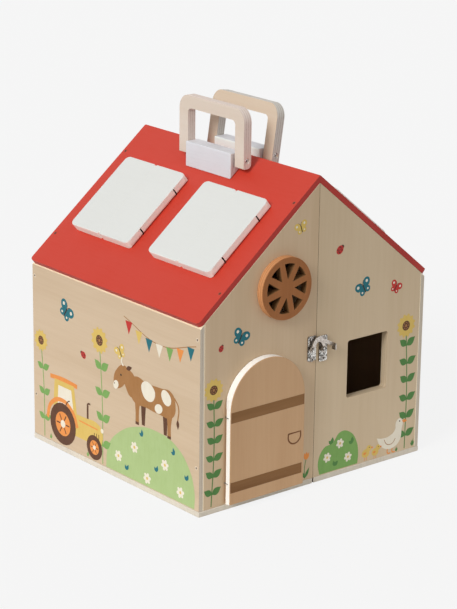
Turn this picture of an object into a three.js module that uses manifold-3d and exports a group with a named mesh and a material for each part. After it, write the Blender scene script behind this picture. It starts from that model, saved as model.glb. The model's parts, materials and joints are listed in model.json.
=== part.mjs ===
// Wooden toy farmhouse in two halves that open like a book.
// Millimetres, +Z up, the front gable faces -Y, the seam between the halves is the plane x = 0.
import * as THREE from 'three';
import { mergeVertices } from 'three/addons/utils/BufferGeometryUtils.js';
import Module from 'manifold-3d';

const wasm = await Module();
wasm.setup();

// Driving dimensions of the house
const houseWidth = 310;
const houseDepth = 292.2;
const ridgeHeight = 336.2;
const roofPitch = THREE.MathUtils.degToRad(39.2);

// Boards
const baseThickness = 6;
const baseReach = 0.4;
const baseSeamInset = 0.6;
const sideThickness = 6;
const gableThickness = 9;
const roofThickness = 6;
const eaveReach = 3.6;
const roofEaveCorner = 5;
const roofRidgeCorner = 2;

// Clearances
const seamGap = 0.4;
const fitGap = 0.3;
const runningGap = 0.4;
const cutOverrun = 2;

// Front door, hung on its left edge
const doorWidth = 100;
const doorHeight = 150;
const doorThickness = 9;
const doorLeft = -122;
const doorSill = 8;
const doorLap = 10;
const doorPivotHeights = [22, 93.5];

// Wheel window over its round hole
const wheelX = -48.7;
const wheelZ = 226.4;
const wheelRadius = 33.2;
const wheelThickness = 8;
const rimWidth = 6.8;
const spokeWidth = 7;
const spokeCount = 8;
const wheelTurn = THREE.MathUtils.degToRad(7);
const wheelHoleTip = 1.2;
const wheelLap = 5;

// Square window in the right half
const windowLeft = 45;
const windowSill = 85.6;
const windowWidth = 58;
const windowHeight = 64.2;
const windowCorner = 3;

// Pairs of white shutters over the roof windows
const shutterPairWidth = 101.8;
const shutterLength = 100.8;
const shutterThickness = 9.5;
const shutterTop = 50.5;
const shutterEdgeMargin = 27.3;
const shutterOuterCorner = 6;
const shutterSeamCorner = 3;
const shutterSeam = 0.3;
const shutterLap = 10;
const shutterPivotInset = 22;
const shutterSlotSkin = 0.8;
const roofWindowCorner = 4;

// Pivot plates of the door and the shutters
const pivotInset = 3;
const pivotPlateThickness = 1;
const pivotEyeRadius = 2.3;
const pivotPinRadius = 1;
const pivotPinLength = 8;
const doorPivotDepth = 6;
const shutterPivotDepth = 4.5;

// Handle blocks and handles
const blockLength = 75.6;
const blockShift = 0.9;
const blockOuterX = 28.2;
const blockInnerX = 11.2;
const blockTop = 341.4;
const handlePivotX = 19.5;
const handlePivotZ = 335.4;
const handleThickness = 10;
const handleLegWidth = 14.7;
const handleSideGap = 1.5;
const handleTop = 55.2;
const handleGripUnderside = 41.3;
const handleLegDrop = 8.5;
const handleOuterCorner = 15;
const handleInnerCorner = 5;
const handleToeCorner = 5;
const handleHeelCorner = 1;
const rightHandleLean = THREE.MathUtils.degToRad(8.5);

// Screws that the handles turn on
const handleScrewRadius = 1.5;
const handleScrewHeadRadius = 3;
const handleScrewHeadHeight = 2.2;
const handleScrewSink = 1;
const handleScrewGrip = 11;

// Latch on the front gable
const plateThickness = 1.2;
const plateCorner = 1.4;
const keeperPlateCentre = [-6.6, 151];
const keeperPlateSize = [11.4, 29];
const hookPlateCentre = [9.1, 149.4];
const hookPlateSize = [11, 28];
const latchHoleInset = 3.4;
const latchHoleRadius = 1.5;
const latchScrewRadius = 1.2;
const latchScrewHeadRadius = 2.3;
const latchScrewHeadHeight = 0.9;
const latchScrewLength = 8;
const keeperPegOffset = [-0.9, 0.6];
const keeperPegRadius = 1.5;
const keeperPegHeadRadius = 2.2;
const keeperPegHeadHeight = 1;
const hookPivotOffset = [-1.1, 0.2];
const hookPivotRadius = 1.5;
const hookPivotHeadRadius = 2.7;
const hookThickness = 1.5;
const hookEyeRadius = 3.9;
const hookEndRadius = 4;
const hookBand = 3.8;
const hookArchRise = 4.4;
const leverReach = 13.2;
const leverDrop = -2.2;
const leverBand = 4.4;
const leverTabLength = 4.2;
const leverTabThickness = 1.4;
const leverTabDrop = 2.6;

// Two butt hinges on the back gables
const hingeHeights = [52, 172];
const hingeLeafHeight = 30;
const hingeLeafWidth = 13;
const hingeLeafThickness = 1.2;
const knuckleRadius = 2.6;
const hingePinRadius = 1.2;
const hingePinHeadRadius = 2.2;
const hingePinHeadHeight = 1;
const knuckleCount = 3;

// Sizes that follow from the ones above
const halfWidth = houseWidth / 2;
const seamHalf = seamGap / 2;
const slope = Math.tan(roofPitch);
const cosPitch = Math.cos(roofPitch);
const sinPitch = Math.sin(roofPitch);
const middleY = houseDepth / 2;
const roofLength = halfWidth / cosPitch + eaveReach;
const doorFront = -(runningGap + doorThickness);
const hingeAxisY = houseDepth + fitGap + knuckleRadius;
const hingeBack = hingeAxisY + knuckleRadius;
const pivotCupRadius = pivotEyeRadius + runningGap;

// Facets on round shapes
const cornerFacets = 4;
const pinFacets = 8;
const diskFacets = 16;
const ringFacets = 56;

// Colours and finishes
const finishes = {
  plywood: { color: 0xd2b48c, roughness: 0.6, metalness: 0 },
  redPaint: { color: 0xd6503f, roughness: 0.5, metalness: 0 },
  whitePaint: { color: 0xe8e8e2, roughness: 0.5, metalness: 0 },
  doorWood: { color: 0xb58f68, roughness: 0.6, metalness: 0 },
  handleWood: { color: 0xe0cdb4, roughness: 0.55, metalness: 0 },
  stainedWood: { color: 0xbf7a48, roughness: 0.55, metalness: 0 },
  nickel: { color: 0xb9bab8, roughness: 0.3, metalness: 1 },
  steel: { color: 0x8f8f8d, roughness: 0.4, metalness: 1 },
};

// Height of the roof's top surface and underside over a distance from the seam
function roofTopAt(distance) {
  return ridgeHeight - distance * slope;
}

function roofUndersideAt(distance) {
  return roofTopAt(distance) - roofThickness / cosPitch;
}

function boardTopAt(distance) {
  return roofUndersideAt(distance) - fitGap / cosPitch;
}

// A closed geometry as a solid for cutting and joining
function solidOf(geometry) {
  const bare = geometry.clone();
  bare.deleteAttribute('normal');
  bare.deleteAttribute('uv');
  const merged = mergeVertices(bare);
  return new wasm.Manifold(new wasm.Mesh({
    numProp: 3,
    vertProperties: Float32Array.from(merged.attributes.position.array),
    triVerts: Uint32Array.from(merged.index.array),
  }));
}

// A solid back as a geometry
function geometryOf(solid) {
  const mesh = solid.getMesh();
  const geometry = new THREE.BufferGeometry();
  geometry.setAttribute('position', new THREE.BufferAttribute(mesh.vertProperties, 3));
  geometry.setIndex(new THREE.BufferAttribute(mesh.triVerts, 1));
  geometry.computeVertexNormals();
  return geometry;
}

function cutFrom(body, cutters) {
  return cutters.reduce((solid, cutter) => solid.subtract(solidOf(cutter)), body);
}

function joined(geometries) {
  return geometries.slice(1).reduce((solid, piece) => solid.add(solidOf(piece)), solidOf(geometries[0]));
}

function meshOf(name, solid, finish) {
  const mesh = new THREE.Mesh(geometryOf(solid), new THREE.MeshStandardMaterial(finishes[finish]));
  mesh.name = name;
  return mesh;
}

// A box between two corners
function boxBetween(low, high) {
  const box = new THREE.BoxGeometry(high[0] - low[0], high[1] - low[1], high[2] - low[2]);
  return box.translate((low[0] + high[0]) / 2, (low[1] + high[1]) / 2, (low[2] + high[2]) / 2);
}

// A round bar along X, Y or Z between two places on that axis
function barAlong(axis, radius, from, to, facets) {
  const bar = new THREE.CylinderGeometry(radius, radius, to - from, facets);
  bar.translate(0, (from + to) / 2, 0);
  if (axis === 'x') bar.rotateZ(-Math.PI / 2);
  if (axis === 'z') bar.rotateX(Math.PI / 2);
  return bar;
}

function polygon(points) {
  return new THREE.Shape(points.map(([x, y]) => new THREE.Vector2(x, y)));
}

// A rectangle with its own radius at each corner, from the low left corner anticlockwise
function roundedRectangle(left, low, width, height, radii) {
  const right = left + width;
  const high = low + height;
  const shape = new THREE.Shape();
  shape.moveTo(left + radii[0], low);
  shape.lineTo(right - radii[1], low);
  shape.absarc(right - radii[1], low + radii[1], radii[1], -Math.PI / 2, 0);
  shape.lineTo(right, high - radii[2]);
  shape.absarc(right - radii[2], high - radii[2], radii[2], 0, Math.PI / 2);
  shape.lineTo(left + radii[3], high);
  shape.absarc(left + radii[3], high - radii[3], radii[3], Math.PI / 2, Math.PI);
  shape.lineTo(left, low + radii[0]);
  shape.absarc(left + radii[0], low + radii[0], radii[0], Math.PI, 1.5 * Math.PI);
  return shape;
}

// An arch with a round top that is as wide as the arch
function archShape(left, low, width, height) {
  const radius = width / 2;
  const shape = new THREE.Shape();
  shape.moveTo(left, low);
  shape.lineTo(left + width, low);
  shape.lineTo(left + width, low + height - radius);
  shape.absarc(left + radius, low + height - radius, radius, 0, Math.PI);
  return shape;
}

function extruded(shape, depth, facets = cornerFacets) {
  return new THREE.ExtrudeGeometry(shape, { depth, bevelEnabled: false, curveSegments: facets });
}

// A shape drawn in the XZ plane and extruded from yFront towards +Y
function upright(shape, yFront, thickness, facets) {
  return extruded(shape, thickness, facets).rotateX(Math.PI / 2).translate(0, yFront + thickness, 0);
}

// One side of the house, drawn as the left one and turned half a turn for the right one
function houseSide(sideName) {
  const side = new THREE.Group();
  if (sideName === 'right') {
    side.rotation.z = Math.PI;
    side.position.y = houseDepth;
  }
  return side;
}

function baseBoard(sideName) {
  const outer = halfWidth + baseReach;
  const inner = seamHalf + baseSeamInset;
  const box = boxBetween([-outer, -baseReach, 0], [-inner, houseDepth + baseReach, baseThickness]);
  return meshOf(`${sideName}_base_board`, solidOf(box), 'whitePaint');
}

function sideWall(sideName) {
  const inner = halfWidth - sideThickness;
  const section = polygon([
    [-halfWidth, baseThickness],
    [-inner, baseThickness],
    [-inner, boardTopAt(inner)],
    [-halfWidth, boardTopAt(halfWidth)],
  ]);
  return meshOf(`${sideName}_side_wall`, solidOf(upright(section, 0, houseDepth)), 'plywood');
}

// Half a gable between the side wall and the seam
function gableBlank(side, yFront) {
  const inner = halfWidth - sideThickness;
  const outline = polygon([
    [side * inner, baseThickness],
    [side * seamHalf, baseThickness],
    [side * seamHalf, boardTopAt(seamHalf)],
    [side * inner, boardTopAt(inner)],
  ]);
  return solidOf(upright(outline, yFront, gableThickness));
}

function frontCutter(shape, facets) {
  return upright(shape, -cutOverrun, gableThickness + 2 * cutOverrun, facets);
}

function screwBore(centre, radius, depth) {
  return barAlong('y', radius, -cutOverrun, depth, pinFacets).translate(centre[0], 0, centre[1]);
}

// The four latch screws: two in the keeper plate and two in the hook plate
function latchScrewPlaces() {
  return [[keeperPlateCentre, keeperPlateSize], [hookPlateCentre, hookPlateSize]].flatMap(([centre, size]) => (
    [1, -1].map((end) => [centre[0], centre[1] + end * (size[1] / 2 - latchHoleInset)])
  ));
}

function latchBores(sideSign) {
  return latchScrewPlaces()
    .filter((place) => Math.sign(place[0]) === sideSign)
    .map((place) => screwBore(place, latchHoleRadius, latchScrewLength + fitGap));
}

function leftFrontGable() {
  const doorway = archShape(
    doorLeft + doorLap,
    -cutOverrun,
    doorWidth - 2 * doorLap,
    doorSill + doorHeight - doorLap + cutOverrun,
  );
  const wheelHole = new THREE.Shape().absarc(wheelX, wheelZ, wheelRadius - wheelLap, 0, 2 * Math.PI);
  const slots = doorPivotHeights.map((height) => boxBetween(
    [doorPivotX() - pivotEyeRadius - fitGap, -cutOverrun, doorSill + height - slotHalf()],
    [doorPivotX() + pivotEyeRadius + fitGap, doorPivotDepth + fitGap, doorSill + height + slotHalf()],
  ));
  const gable = cutFrom(gableBlank(-1, 0), [
    frontCutter(doorway, ringFacets / 2),
    frontCutter(wheelHole, ringFacets),
    ...slots,
    ...latchBores(-1),
  ]);
  return meshOf('left_front_gable', gable, 'plywood');
}

function rightFrontGable() {
  const radii = Array(4).fill(windowCorner);
  const opening = roundedRectangle(windowLeft, windowSill, windowWidth, windowHeight, radii);
  const gable = cutFrom(gableBlank(1, 0), [frontCutter(opening), ...latchBores(1)]);
  return meshOf('right_front_gable', gable, 'plywood');
}

function backGable(sideName, side) {
  return meshOf(`${sideName}_back_gable`, gableBlank(side, houseDepth - gableThickness), 'plywood');
}

// One hole between two straight spokes, with a narrow tip towards the hub
function wheelHole(angle) {
  const rimInner = wheelRadius - rimWidth;
  const halfStep = Math.PI / spokeCount;
  const tipDistance = spokeWidth / 2 / Math.sin(halfStep) + wheelHoleTip;
  const tipHalf = wheelHoleTip * Math.tan(halfStep);
  const edgeAngle = halfStep - Math.asin(spokeWidth / 2 / rimInner);
  const hole = new THREE.Shape();
  hole.moveTo(tipDistance, -tipHalf);
  hole.absarc(0, 0, rimInner, -edgeAngle, edgeAngle);
  hole.lineTo(tipDistance, tipHalf);
  const cutter = upright(hole, -cutOverrun, wheelThickness + 2 * cutOverrun);
  return cutter.rotateY(angle);
}

// Ring with straight spokes, cut from one round plate
function wheelWindow() {
  const blank = barAlong('y', wheelRadius, 0, wheelThickness, ringFacets);
  const holes = Array.from({ length: spokeCount }, (_, index) => (
    wheelHole(wheelTurn + (2 * Math.PI * index) / spokeCount)
  ));
  const mesh = meshOf('wheel_window', cutFrom(solidOf(blank), holes), 'stainedWood');
  mesh.position.set(wheelX, -fitGap - wheelThickness, wheelZ);
  return mesh;
}

// Pivot plate: an eye on a flat tongue, with its pin through it.
// Drawn about the pivot axis Y, with the tongue reaching down -Z into the board.
function pivotPlate(name, height, depth) {
  const half = pivotPlateThickness / 2;
  const plate = joined([
    barAlong('y', pivotEyeRadius, -half, half, diskFacets),
    boxBetween([-pivotEyeRadius, -half, -height - depth], [pivotEyeRadius, half, 0]),
    barAlong('y', pivotPinRadius, -pivotPinLength / 2, pivotPinLength / 2, pinFacets),
  ]);
  return meshOf(name, plate, 'steel');
}

function slotHalf() {
  return pivotPlateThickness / 2 + fitGap;
}

// A leaf that turns on pivot plates near its edge x = 0: rounded under that edge,
// with a slot and a pin bore for each plate. Width is along X, length along Y, its back at z = 0.
function hungLeaf(outline, length, thickness, pivotPlaces, slotHeight, facets) {
  const corner = new THREE.Shape();
  corner.moveTo(-cutOverrun, -cutOverrun);
  corner.lineTo(pivotInset, -cutOverrun);
  corner.lineTo(pivotInset, 0);
  corner.absarc(pivotInset, pivotInset, pivotInset, -Math.PI / 2, -Math.PI, true);
  corner.lineTo(-cutOverrun, pivotInset);
  const cornerCutter = extruded(corner, length + 2 * cutOverrun);
  cornerCutter.rotateX(Math.PI / 2).translate(0, length + cutOverrun, 0);
  const cutters = pivotPlaces.flatMap((place) => [
    boxBetween(
      [-cutOverrun, place - slotHalf(), -cutOverrun],
      [pivotInset + pivotCupRadius, place + slotHalf(), slotHeight],
    ),
    barAlong(
      'y',
      pivotPinRadius + fitGap,
      place - pivotPinLength / 2 - fitGap,
      place + pivotPinLength / 2 + fitGap,
      pinFacets,
    ).translate(pivotInset, 0, pivotInset),
  ]);
  return cutFrom(solidOf(extruded(outline, thickness, facets)), [cornerCutter, ...cutters]);
}

function doorPivotX() {
  return doorLeft + pivotInset;
}

// Door and its two pivot plates, turned from the leaf's frame to stand on the front gable
function frontDoor() {
  const group = new THREE.Group();
  const outline = archShape(0, 0, doorWidth, doorHeight);
  const slotHeight = pivotInset + pivotCupRadius;
  const leaf = hungLeaf(outline, doorHeight, doorThickness, doorPivotHeights, slotHeight, ringFacets / 2);
  group.add(meshOf('front_door', leaf, 'doorWood'));
  doorPivotHeights.forEach((height, index) => {
    const name = `door_pivot_plate_${['lower', 'upper'][index]}`;
    const plate = pivotPlate(name, pivotInset + runningGap, doorPivotDepth);
    plate.position.set(pivotInset, height, pivotInset);
    group.add(plate);
  });
  group.rotation.x = Math.PI / 2;
  group.position.set(doorLeft, -runningGap, doorSill);
  return group;
}

// Places of the two shutter pairs and of each leaf's pivots
function shutterPairStarts() {
  return [shutterEdgeMargin, houseDepth - shutterEdgeMargin - shutterPairWidth];
}

function shutterPivotPlaces() {
  return [shutterPivotInset, shutterLength - shutterPivotInset];
}

// The roof panel lies with X along the ridge, Y down the slope and its top face at z = 0
function roofPanel(sideName) {
  const radii = [roofRidgeCorner, roofRidgeCorner, roofEaveCorner, roofEaveCorner];
  const outline = roundedRectangle(0, 0, houseDepth, roofLength, radii);
  const panel = solidOf(extruded(outline, roofThickness).translate(0, 0, -roofThickness));
  const deep = roofThickness + cutOverrun;
  const mitre = polygon([
    [(seamHalf - cutOverrun * sinPitch) / cosPitch, cutOverrun],
    [-2 * cutOverrun, cutOverrun],
    [-2 * cutOverrun, -deep],
    [(seamHalf + deep * sinPitch) / cosPitch, -deep],
  ]);
  const mitreCutter = extruded(mitre, houseDepth + 2 * cutOverrun);
  mitreCutter.rotateX(Math.PI / 2).rotateZ(Math.PI / 2).translate(-cutOverrun, 0, 0);
  const cutters = [mitreCutter];
  for (const start of shutterPairStarts()) {
    const opening = roundedRectangle(
      start + shutterLap,
      shutterTop + shutterLap,
      shutterPairWidth - 2 * shutterLap,
      shutterLength - 2 * shutterLap,
      Array(4).fill(roofWindowCorner),
    );
    cutters.push(extruded(opening, roofThickness + 2 * cutOverrun).translate(0, 0, -deep));
    for (const edge of [start + pivotInset, start + shutterPairWidth - pivotInset]) {
      for (const place of shutterPivotPlaces()) {
        cutters.push(boxBetween(
          [edge - pivotEyeRadius - fitGap, shutterTop + place - slotHalf(), -shutterPivotDepth - fitGap],
          [edge + pivotEyeRadius + fitGap, shutterTop + place + slotHalf(), cutOverrun],
        ));
      }
    }
  }
  return meshOf(`${sideName}_roof_panel`, cutFrom(panel, cutters), 'redPaint');
}

// One shutter leaf with its two pivot plates, in the leaf's own frame
function shutter(name) {
  const group = new THREE.Group();
  const width = (shutterPairWidth - shutterSeam) / 2;
  const radii = [shutterOuterCorner, shutterSeamCorner, shutterSeamCorner, shutterOuterCorner];
  const outline = roundedRectangle(0, 0, width, shutterLength, radii);
  const slotHeight = shutterThickness - shutterSlotSkin;
  const leaf = hungLeaf(outline, shutterLength, shutterThickness, shutterPivotPlaces(), slotHeight);
  group.add(meshOf(name, leaf, 'whitePaint'));
  shutterPivotPlaces().forEach((place, index) => {
    const plate = pivotPlate(`${name}_pivot_${index + 1}`, pivotInset + fitGap, shutterPivotDepth);
    plate.position.set(pivotInset, place, pivotInset);
    group.add(plate);
  });
  return group;
}

// A roof slope with its panel and two pairs of shutters
function roofSlope(sideName) {
  const slopeGroup = new THREE.Group();
  const alongRidge = new THREE.Vector3(0, 1, 0);
  const downSlope = new THREE.Vector3(-cosPitch, 0, -sinPitch);
  const outward = new THREE.Vector3(-sinPitch, 0, cosPitch);
  const basis = new THREE.Matrix4().makeBasis(alongRidge, downSlope, outward);
  slopeGroup.quaternion.setFromRotationMatrix(basis);
  slopeGroup.position.z = ridgeHeight;
  slopeGroup.add(roofPanel(sideName));
  const order = sideName === 'left' ? [0, 1] : [1, 0];
  shutterPairStarts().forEach((start, index) => {
    const pairName = `${sideName}_${['front', 'rear'][order[index]]}_shutter`;
    const nearLeaf = shutter(`${pairName}_${['fore', 'aft'][order[0]]}`);
    nearLeaf.position.set(start, shutterTop, fitGap);
    const farLeaf = shutter(`${pairName}_${['fore', 'aft'][order[1]]}`);
    farLeaf.position.set(start + shutterPairWidth, shutterTop + shutterLength, fitGap);
    farLeaf.rotation.z = Math.PI;
    slopeGroup.add(nearLeaf, farLeaf);
  });
  return slopeGroup;
}

// White block that carries a handle, level on top and cut to the slope below
function handleBlock(sideName) {
  const outline = polygon([
    [-blockOuterX, roofTopAt(blockOuterX) + fitGap / cosPitch],
    [-blockInnerX, roofTopAt(blockInnerX) + fitGap / cosPitch],
    [-blockInnerX, blockTop],
    [-blockOuterX, blockTop],
  ]);
  const centre = middleY + (sideName === 'left' ? blockShift : -blockShift);
  const block = solidOf(upright(outline, centre - blockLength / 2, blockLength));
  const bores = [1, -1].map((end) => {
    const face = middleY + end * (blockLength / 2);
    const places = [face + end * (blockShift + cutOverrun), face - end * (handleScrewGrip + fitGap)];
    const bore = barAlong('y', handleScrewRadius + fitGap, Math.min(...places), Math.max(...places), pinFacets);
    return bore.translate(-handlePivotX, 0, handlePivotZ);
  });
  return meshOf(`${sideName}_handle_block`, cutFrom(block, bores), 'whitePaint');
}

// Handle drawn about its pivot axis: legs, arched bar and toes rounded to swing over the roof
function handleSolid() {
  const inner = blockLength / 2 + handleSideGap;
  const outer = inner + handleLegWidth;
  const frame = roundedRectangle(-outer, -handleLegDrop, 2 * outer, handleTop + handleLegDrop, [
    0, 0, handleOuterCorner, handleOuterCorner,
  ]);
  const gap = roundedRectangle(
    -inner,
    -handleLegDrop - cutOverrun,
    2 * inner,
    handleGripUnderside + handleLegDrop + cutOverrun,
    [0, 0, handleInnerCorner, handleInnerCorner],
  );
  const plate = (shape, depth) => extruded(shape, depth, 2 * cornerFacets)
    .translate(0, 0, -depth / 2).rotateX(Math.PI / 2).rotateZ(Math.PI / 2);
  const halfThickness = handleThickness / 2;
  const side = roundedRectangle(-halfThickness, -handleLegDrop, handleThickness, handleTop + handleLegDrop, [
    handleHeelCorner, handleToeCorner, handleHeelCorner, handleHeelCorner,
  ]);
  const sideSolid = solidOf(upright(side, -outer, 2 * outer));
  const bores = [1, -1].flatMap((end) => {
    const headSeat = outer - handleScrewSink - handleScrewHeadHeight - fitGap;
    const shank = barAlong('y', handleScrewRadius + fitGap, inner - cutOverrun, outer + cutOverrun, pinFacets);
    const head = barAlong('y', handleScrewHeadRadius + fitGap, headSeat, outer + cutOverrun, diskFacets);
    return [shank, head].map((bore) => (end > 0 ? bore : bore.rotateZ(Math.PI)));
  });
  const blank = solidOf(plate(frame, handleThickness)).intersect(sideSolid);
  return cutFrom(blank, [plate(gap, handleThickness + 2 * cutOverrun), ...bores]);
}

function handle(sideName, lean) {
  const mesh = meshOf(`${sideName}_handle`, handleSolid(), 'handleWood');
  mesh.position.set(-handlePivotX, middleY, handlePivotZ);
  mesh.rotation.y = -lean;
  return mesh;
}

// Pan head screw along Y with its tip at the far end of the block's bore
function handleScrew(name, end) {
  const outer = blockLength / 2 + handleSideGap + handleLegWidth - handleScrewSink;
  const tip = blockLength / 2 - handleScrewGrip;
  const seat = outer - handleScrewHeadHeight;
  const profile = [
    [0, tip],
    [handleScrewRadius, tip],
    [handleScrewRadius, seat],
    [handleScrewHeadRadius, seat],
    [handleScrewHeadRadius, seat + handleScrewHeadHeight / 2],
    [handleScrewHeadRadius - handleScrewHeadHeight / 2, outer],
    [0, outer],
  ].map(([radius, along]) => new THREE.Vector2(radius, along));
  const screw = new THREE.LatheGeometry(profile, diskFacets);
  if (end < 0) screw.rotateZ(Math.PI);
  const mesh = meshOf(name, solidOf(screw), 'steel');
  mesh.position.set(-handlePivotX, middleY, handlePivotZ);
  return mesh;
}

// Stepped distances in front of the gable for the latch
function hookBack() {
  return plateThickness + latchScrewHeadHeight + fitGap + runningGap;
}

function hookFront() {
  return hookBack() + hookThickness;
}

// A flat latch plate with rounded corners and two screw holes
function latchPlate(centre, size) {
  const outline = roundedRectangle(
    centre[0] - size[0] / 2,
    centre[1] - size[1] / 2,
    size[0],
    size[1],
    Array(4).fill(plateCorner),
  );
  const holes = [1, -1].map((end) => screwBore(
    [centre[0], centre[1] + end * (size[1] / 2 - latchHoleInset)],
    latchHoleRadius,
    cutOverrun,
  ));
  return cutFrom(solidOf(upright(outline, -plateThickness, plateThickness)), holes);
}

// A stepped round post standing out from a plate towards the front
function post(centre, steps) {
  return steps.map(([radius, from, to]) => (
    barAlong('y', radius, -to, -from, diskFacets).translate(centre[0], 0, centre[1])
  ));
}

function keeperPegCentre() {
  return [keeperPlateCentre[0] + keeperPegOffset[0], keeperPlateCentre[1] + keeperPegOffset[1]];
}

function hookPivotCentre() {
  return [hookPlateCentre[0] + hookPivotOffset[0], hookPlateCentre[1] + hookPivotOffset[1]];
}

function keeperPlate() {
  const headBack = hookFront() + runningGap;
  const peg = post(keeperPegCentre(), [
    [keeperPegRadius, plateThickness / 2, headBack + keeperPegHeadHeight / 2],
    [keeperPegHeadRadius, headBack, headBack + keeperPegHeadHeight],
  ]);
  const plate = latchPlate(keeperPlateCentre, keeperPlateSize).add(joined(peg));
  return meshOf('latch_keeper_plate', plate, 'nickel');
}

function hookPlate() {
  const headBack = hookFront() + runningGap;
  const rivet = post(hookPivotCentre(), [
    [hookPivotHeadRadius, plateThickness / 2, hookBack() - fitGap],
    [hookPivotRadius, plateThickness / 2, headBack + keeperPegHeadHeight / 2],
    [hookPivotHeadRadius, headBack, headBack + keeperPegHeadHeight],
  ]);
  const plate = latchPlate(hookPlateCentre, hookPlateSize).add(joined(rivet));
  return meshOf('latch_hook_plate', plate, 'nickel');
}

// Hook drawn about its pivot in the XZ plane: eye, arched arm, notched end and thumb lever
function latchHook() {
  const pivot = hookPivotCentre();
  const peg = keeperPegCentre();
  const end = [peg[0] - pivot[0], peg[1] - pivot[1]];
  const span = -end[0];
  const archRadius = span / 2;
  const arch = new THREE.Shape();
  const outerRadius = archRadius + hookBand / 2;
  const innerRadius = archRadius - hookBand / 2;
  arch.absarc(-archRadius, 0, outerRadius, 0, Math.PI);
  arch.absarc(-archRadius, 0, innerRadius, Math.PI, 0, true);
  const rise = (archRadius + hookArchRise) / archRadius;
  const flat = (geometry) => geometry.scale(1, 1, rise);
  const lever = polygon([
    [-archRadius, outerRadius * rise],
    [-archRadius, outerRadius * rise - leverBand],
    [leverReach, -leverDrop - leverBand / 2],
    [leverReach, leverBand / 2 - leverDrop],
  ]);
  const back = -hookFront();
  const lift = (hookThickness + leverTabLength);
  const pieces = [
    barAlong('y', hookEyeRadius, back, back + hookThickness, diskFacets),
    flat(upright(arch, back, hookThickness, 3 * cornerFacets)),
    barAlong('y', hookEndRadius, back, back + hookThickness, diskFacets).translate(end[0], 0, end[1]),
    upright(lever, back, hookThickness),
    boxBetween(
      [leverReach - leverTabThickness, -hookBack() - lift, -leverDrop - leverBand / 2 - leverTabDrop],
      [leverReach, -hookBack(), leverBand / 2 - leverDrop],
    ),
  ];
  const notchHalf = keeperPegRadius + runningGap;
  const notch = [
    barAlong('y', notchHalf, -hookFront() - cutOverrun, 0, diskFacets).translate(end[0], 0, end[1]),
    boxBetween(
      [end[0] - notchHalf, -hookFront() - cutOverrun, end[1] - 2 * hookEndRadius],
      [end[0] + notchHalf, 0, end[1]],
    ),
    barAlong('y', hookPivotRadius + fitGap, -hookFront() - cutOverrun, 0, diskFacets),
  ];
  const mesh = meshOf('latch_hook', cutFrom(joined(pieces), notch), 'nickel');
  mesh.position.set(pivot[0], 0, pivot[1]);
  return mesh;
}

// Round head screws through the latch plates into the gables
function latchScrew(place, index) {
  const profile = [
    [0, -latchScrewLength],
    [latchScrewRadius, -latchScrewLength],
    [latchScrewRadius, plateThickness],
    [latchScrewHeadRadius, plateThickness],
    [latchScrewHeadRadius, plateThickness + latchScrewHeadHeight / 3],
    [latchScrewHeadRadius * Math.cos(Math.PI / 4), plateThickness + latchScrewHeadHeight],
    [0, plateThickness + latchScrewHeadHeight],
  ].map(([radius, along]) => new THREE.Vector2(radius, along));
  const screw = new THREE.LatheGeometry(profile, pinFacets);
  screw.rotateZ(Math.PI);
  const mesh = meshOf(`latch_screw_${index + 1}`, solidOf(screw), 'steel');
  mesh.position.set(place[0], 0, place[1]);
  return mesh;
}

// Hinge leaf with its own share of the knuckles; side -1 has the outer two and side 1 the middle one
function hingeLeaf(name, side, centreZ) {
  const low = centreZ - hingeLeafHeight / 2;
  const knuckle = hingeLeafHeight / knuckleCount;
  const edge = knuckleRadius + fitGap;
  const xs = [side * edge, side * (edge + hingeLeafWidth)];
  const backFace = houseDepth;
  const pieces = [boxBetween(
    [Math.min(...xs), backFace, low],
    [Math.max(...xs), backFace + hingeLeafThickness, low + hingeLeafHeight],
  )];
  const bores = [];
  for (let index = 0; index < knuckleCount; index += 1) {
    const mine = (index % 2 === 0) === (side < 0);
    if (!mine) continue;
    const from = low + index * knuckle + (index > 0 ? fitGap / 2 : 0);
    const to = low + (index + 1) * knuckle - (index < knuckleCount - 1 ? fitGap / 2 : 0);
    const tabs = [0, side * (edge + hingeLeafThickness)];
    pieces.push(boxBetween(
      [Math.min(...tabs), backFace + fitGap, from],
      [Math.max(...tabs), backFace + hingeLeafThickness, to],
    ));
    pieces.push(barAlong('z', knuckleRadius, from, to, diskFacets).translate(0, hingeAxisY, 0));
    bores.push(barAlong('z', hingePinRadius + fitGap, from - cutOverrun, to + cutOverrun, pinFacets)
      .translate(0, hingeAxisY, 0));
  }
  return meshOf(name, cutFrom(joined(pieces), bores), 'nickel');
}

function hingePin(name, centreZ) {
  const reach = hingeLeafHeight / 2 + fitGap;
  const outer = reach + hingePinHeadHeight;
  const profile = [
    [0, -outer],
    [hingePinHeadRadius, -outer],
    [hingePinHeadRadius, -reach],
    [hingePinRadius, -reach],
    [hingePinRadius, reach],
    [hingePinHeadRadius, reach],
    [hingePinHeadRadius, outer],
    [0, outer],
  ].map(([radius, along]) => new THREE.Vector2(radius, along));
  const pin = new THREE.LatheGeometry(profile, pinFacets);
  pin.rotateX(Math.PI / 2);
  const mesh = meshOf(name, solidOf(pin), 'steel');
  mesh.position.set(0, hingeAxisY, centreZ);
  return mesh;
}

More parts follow.
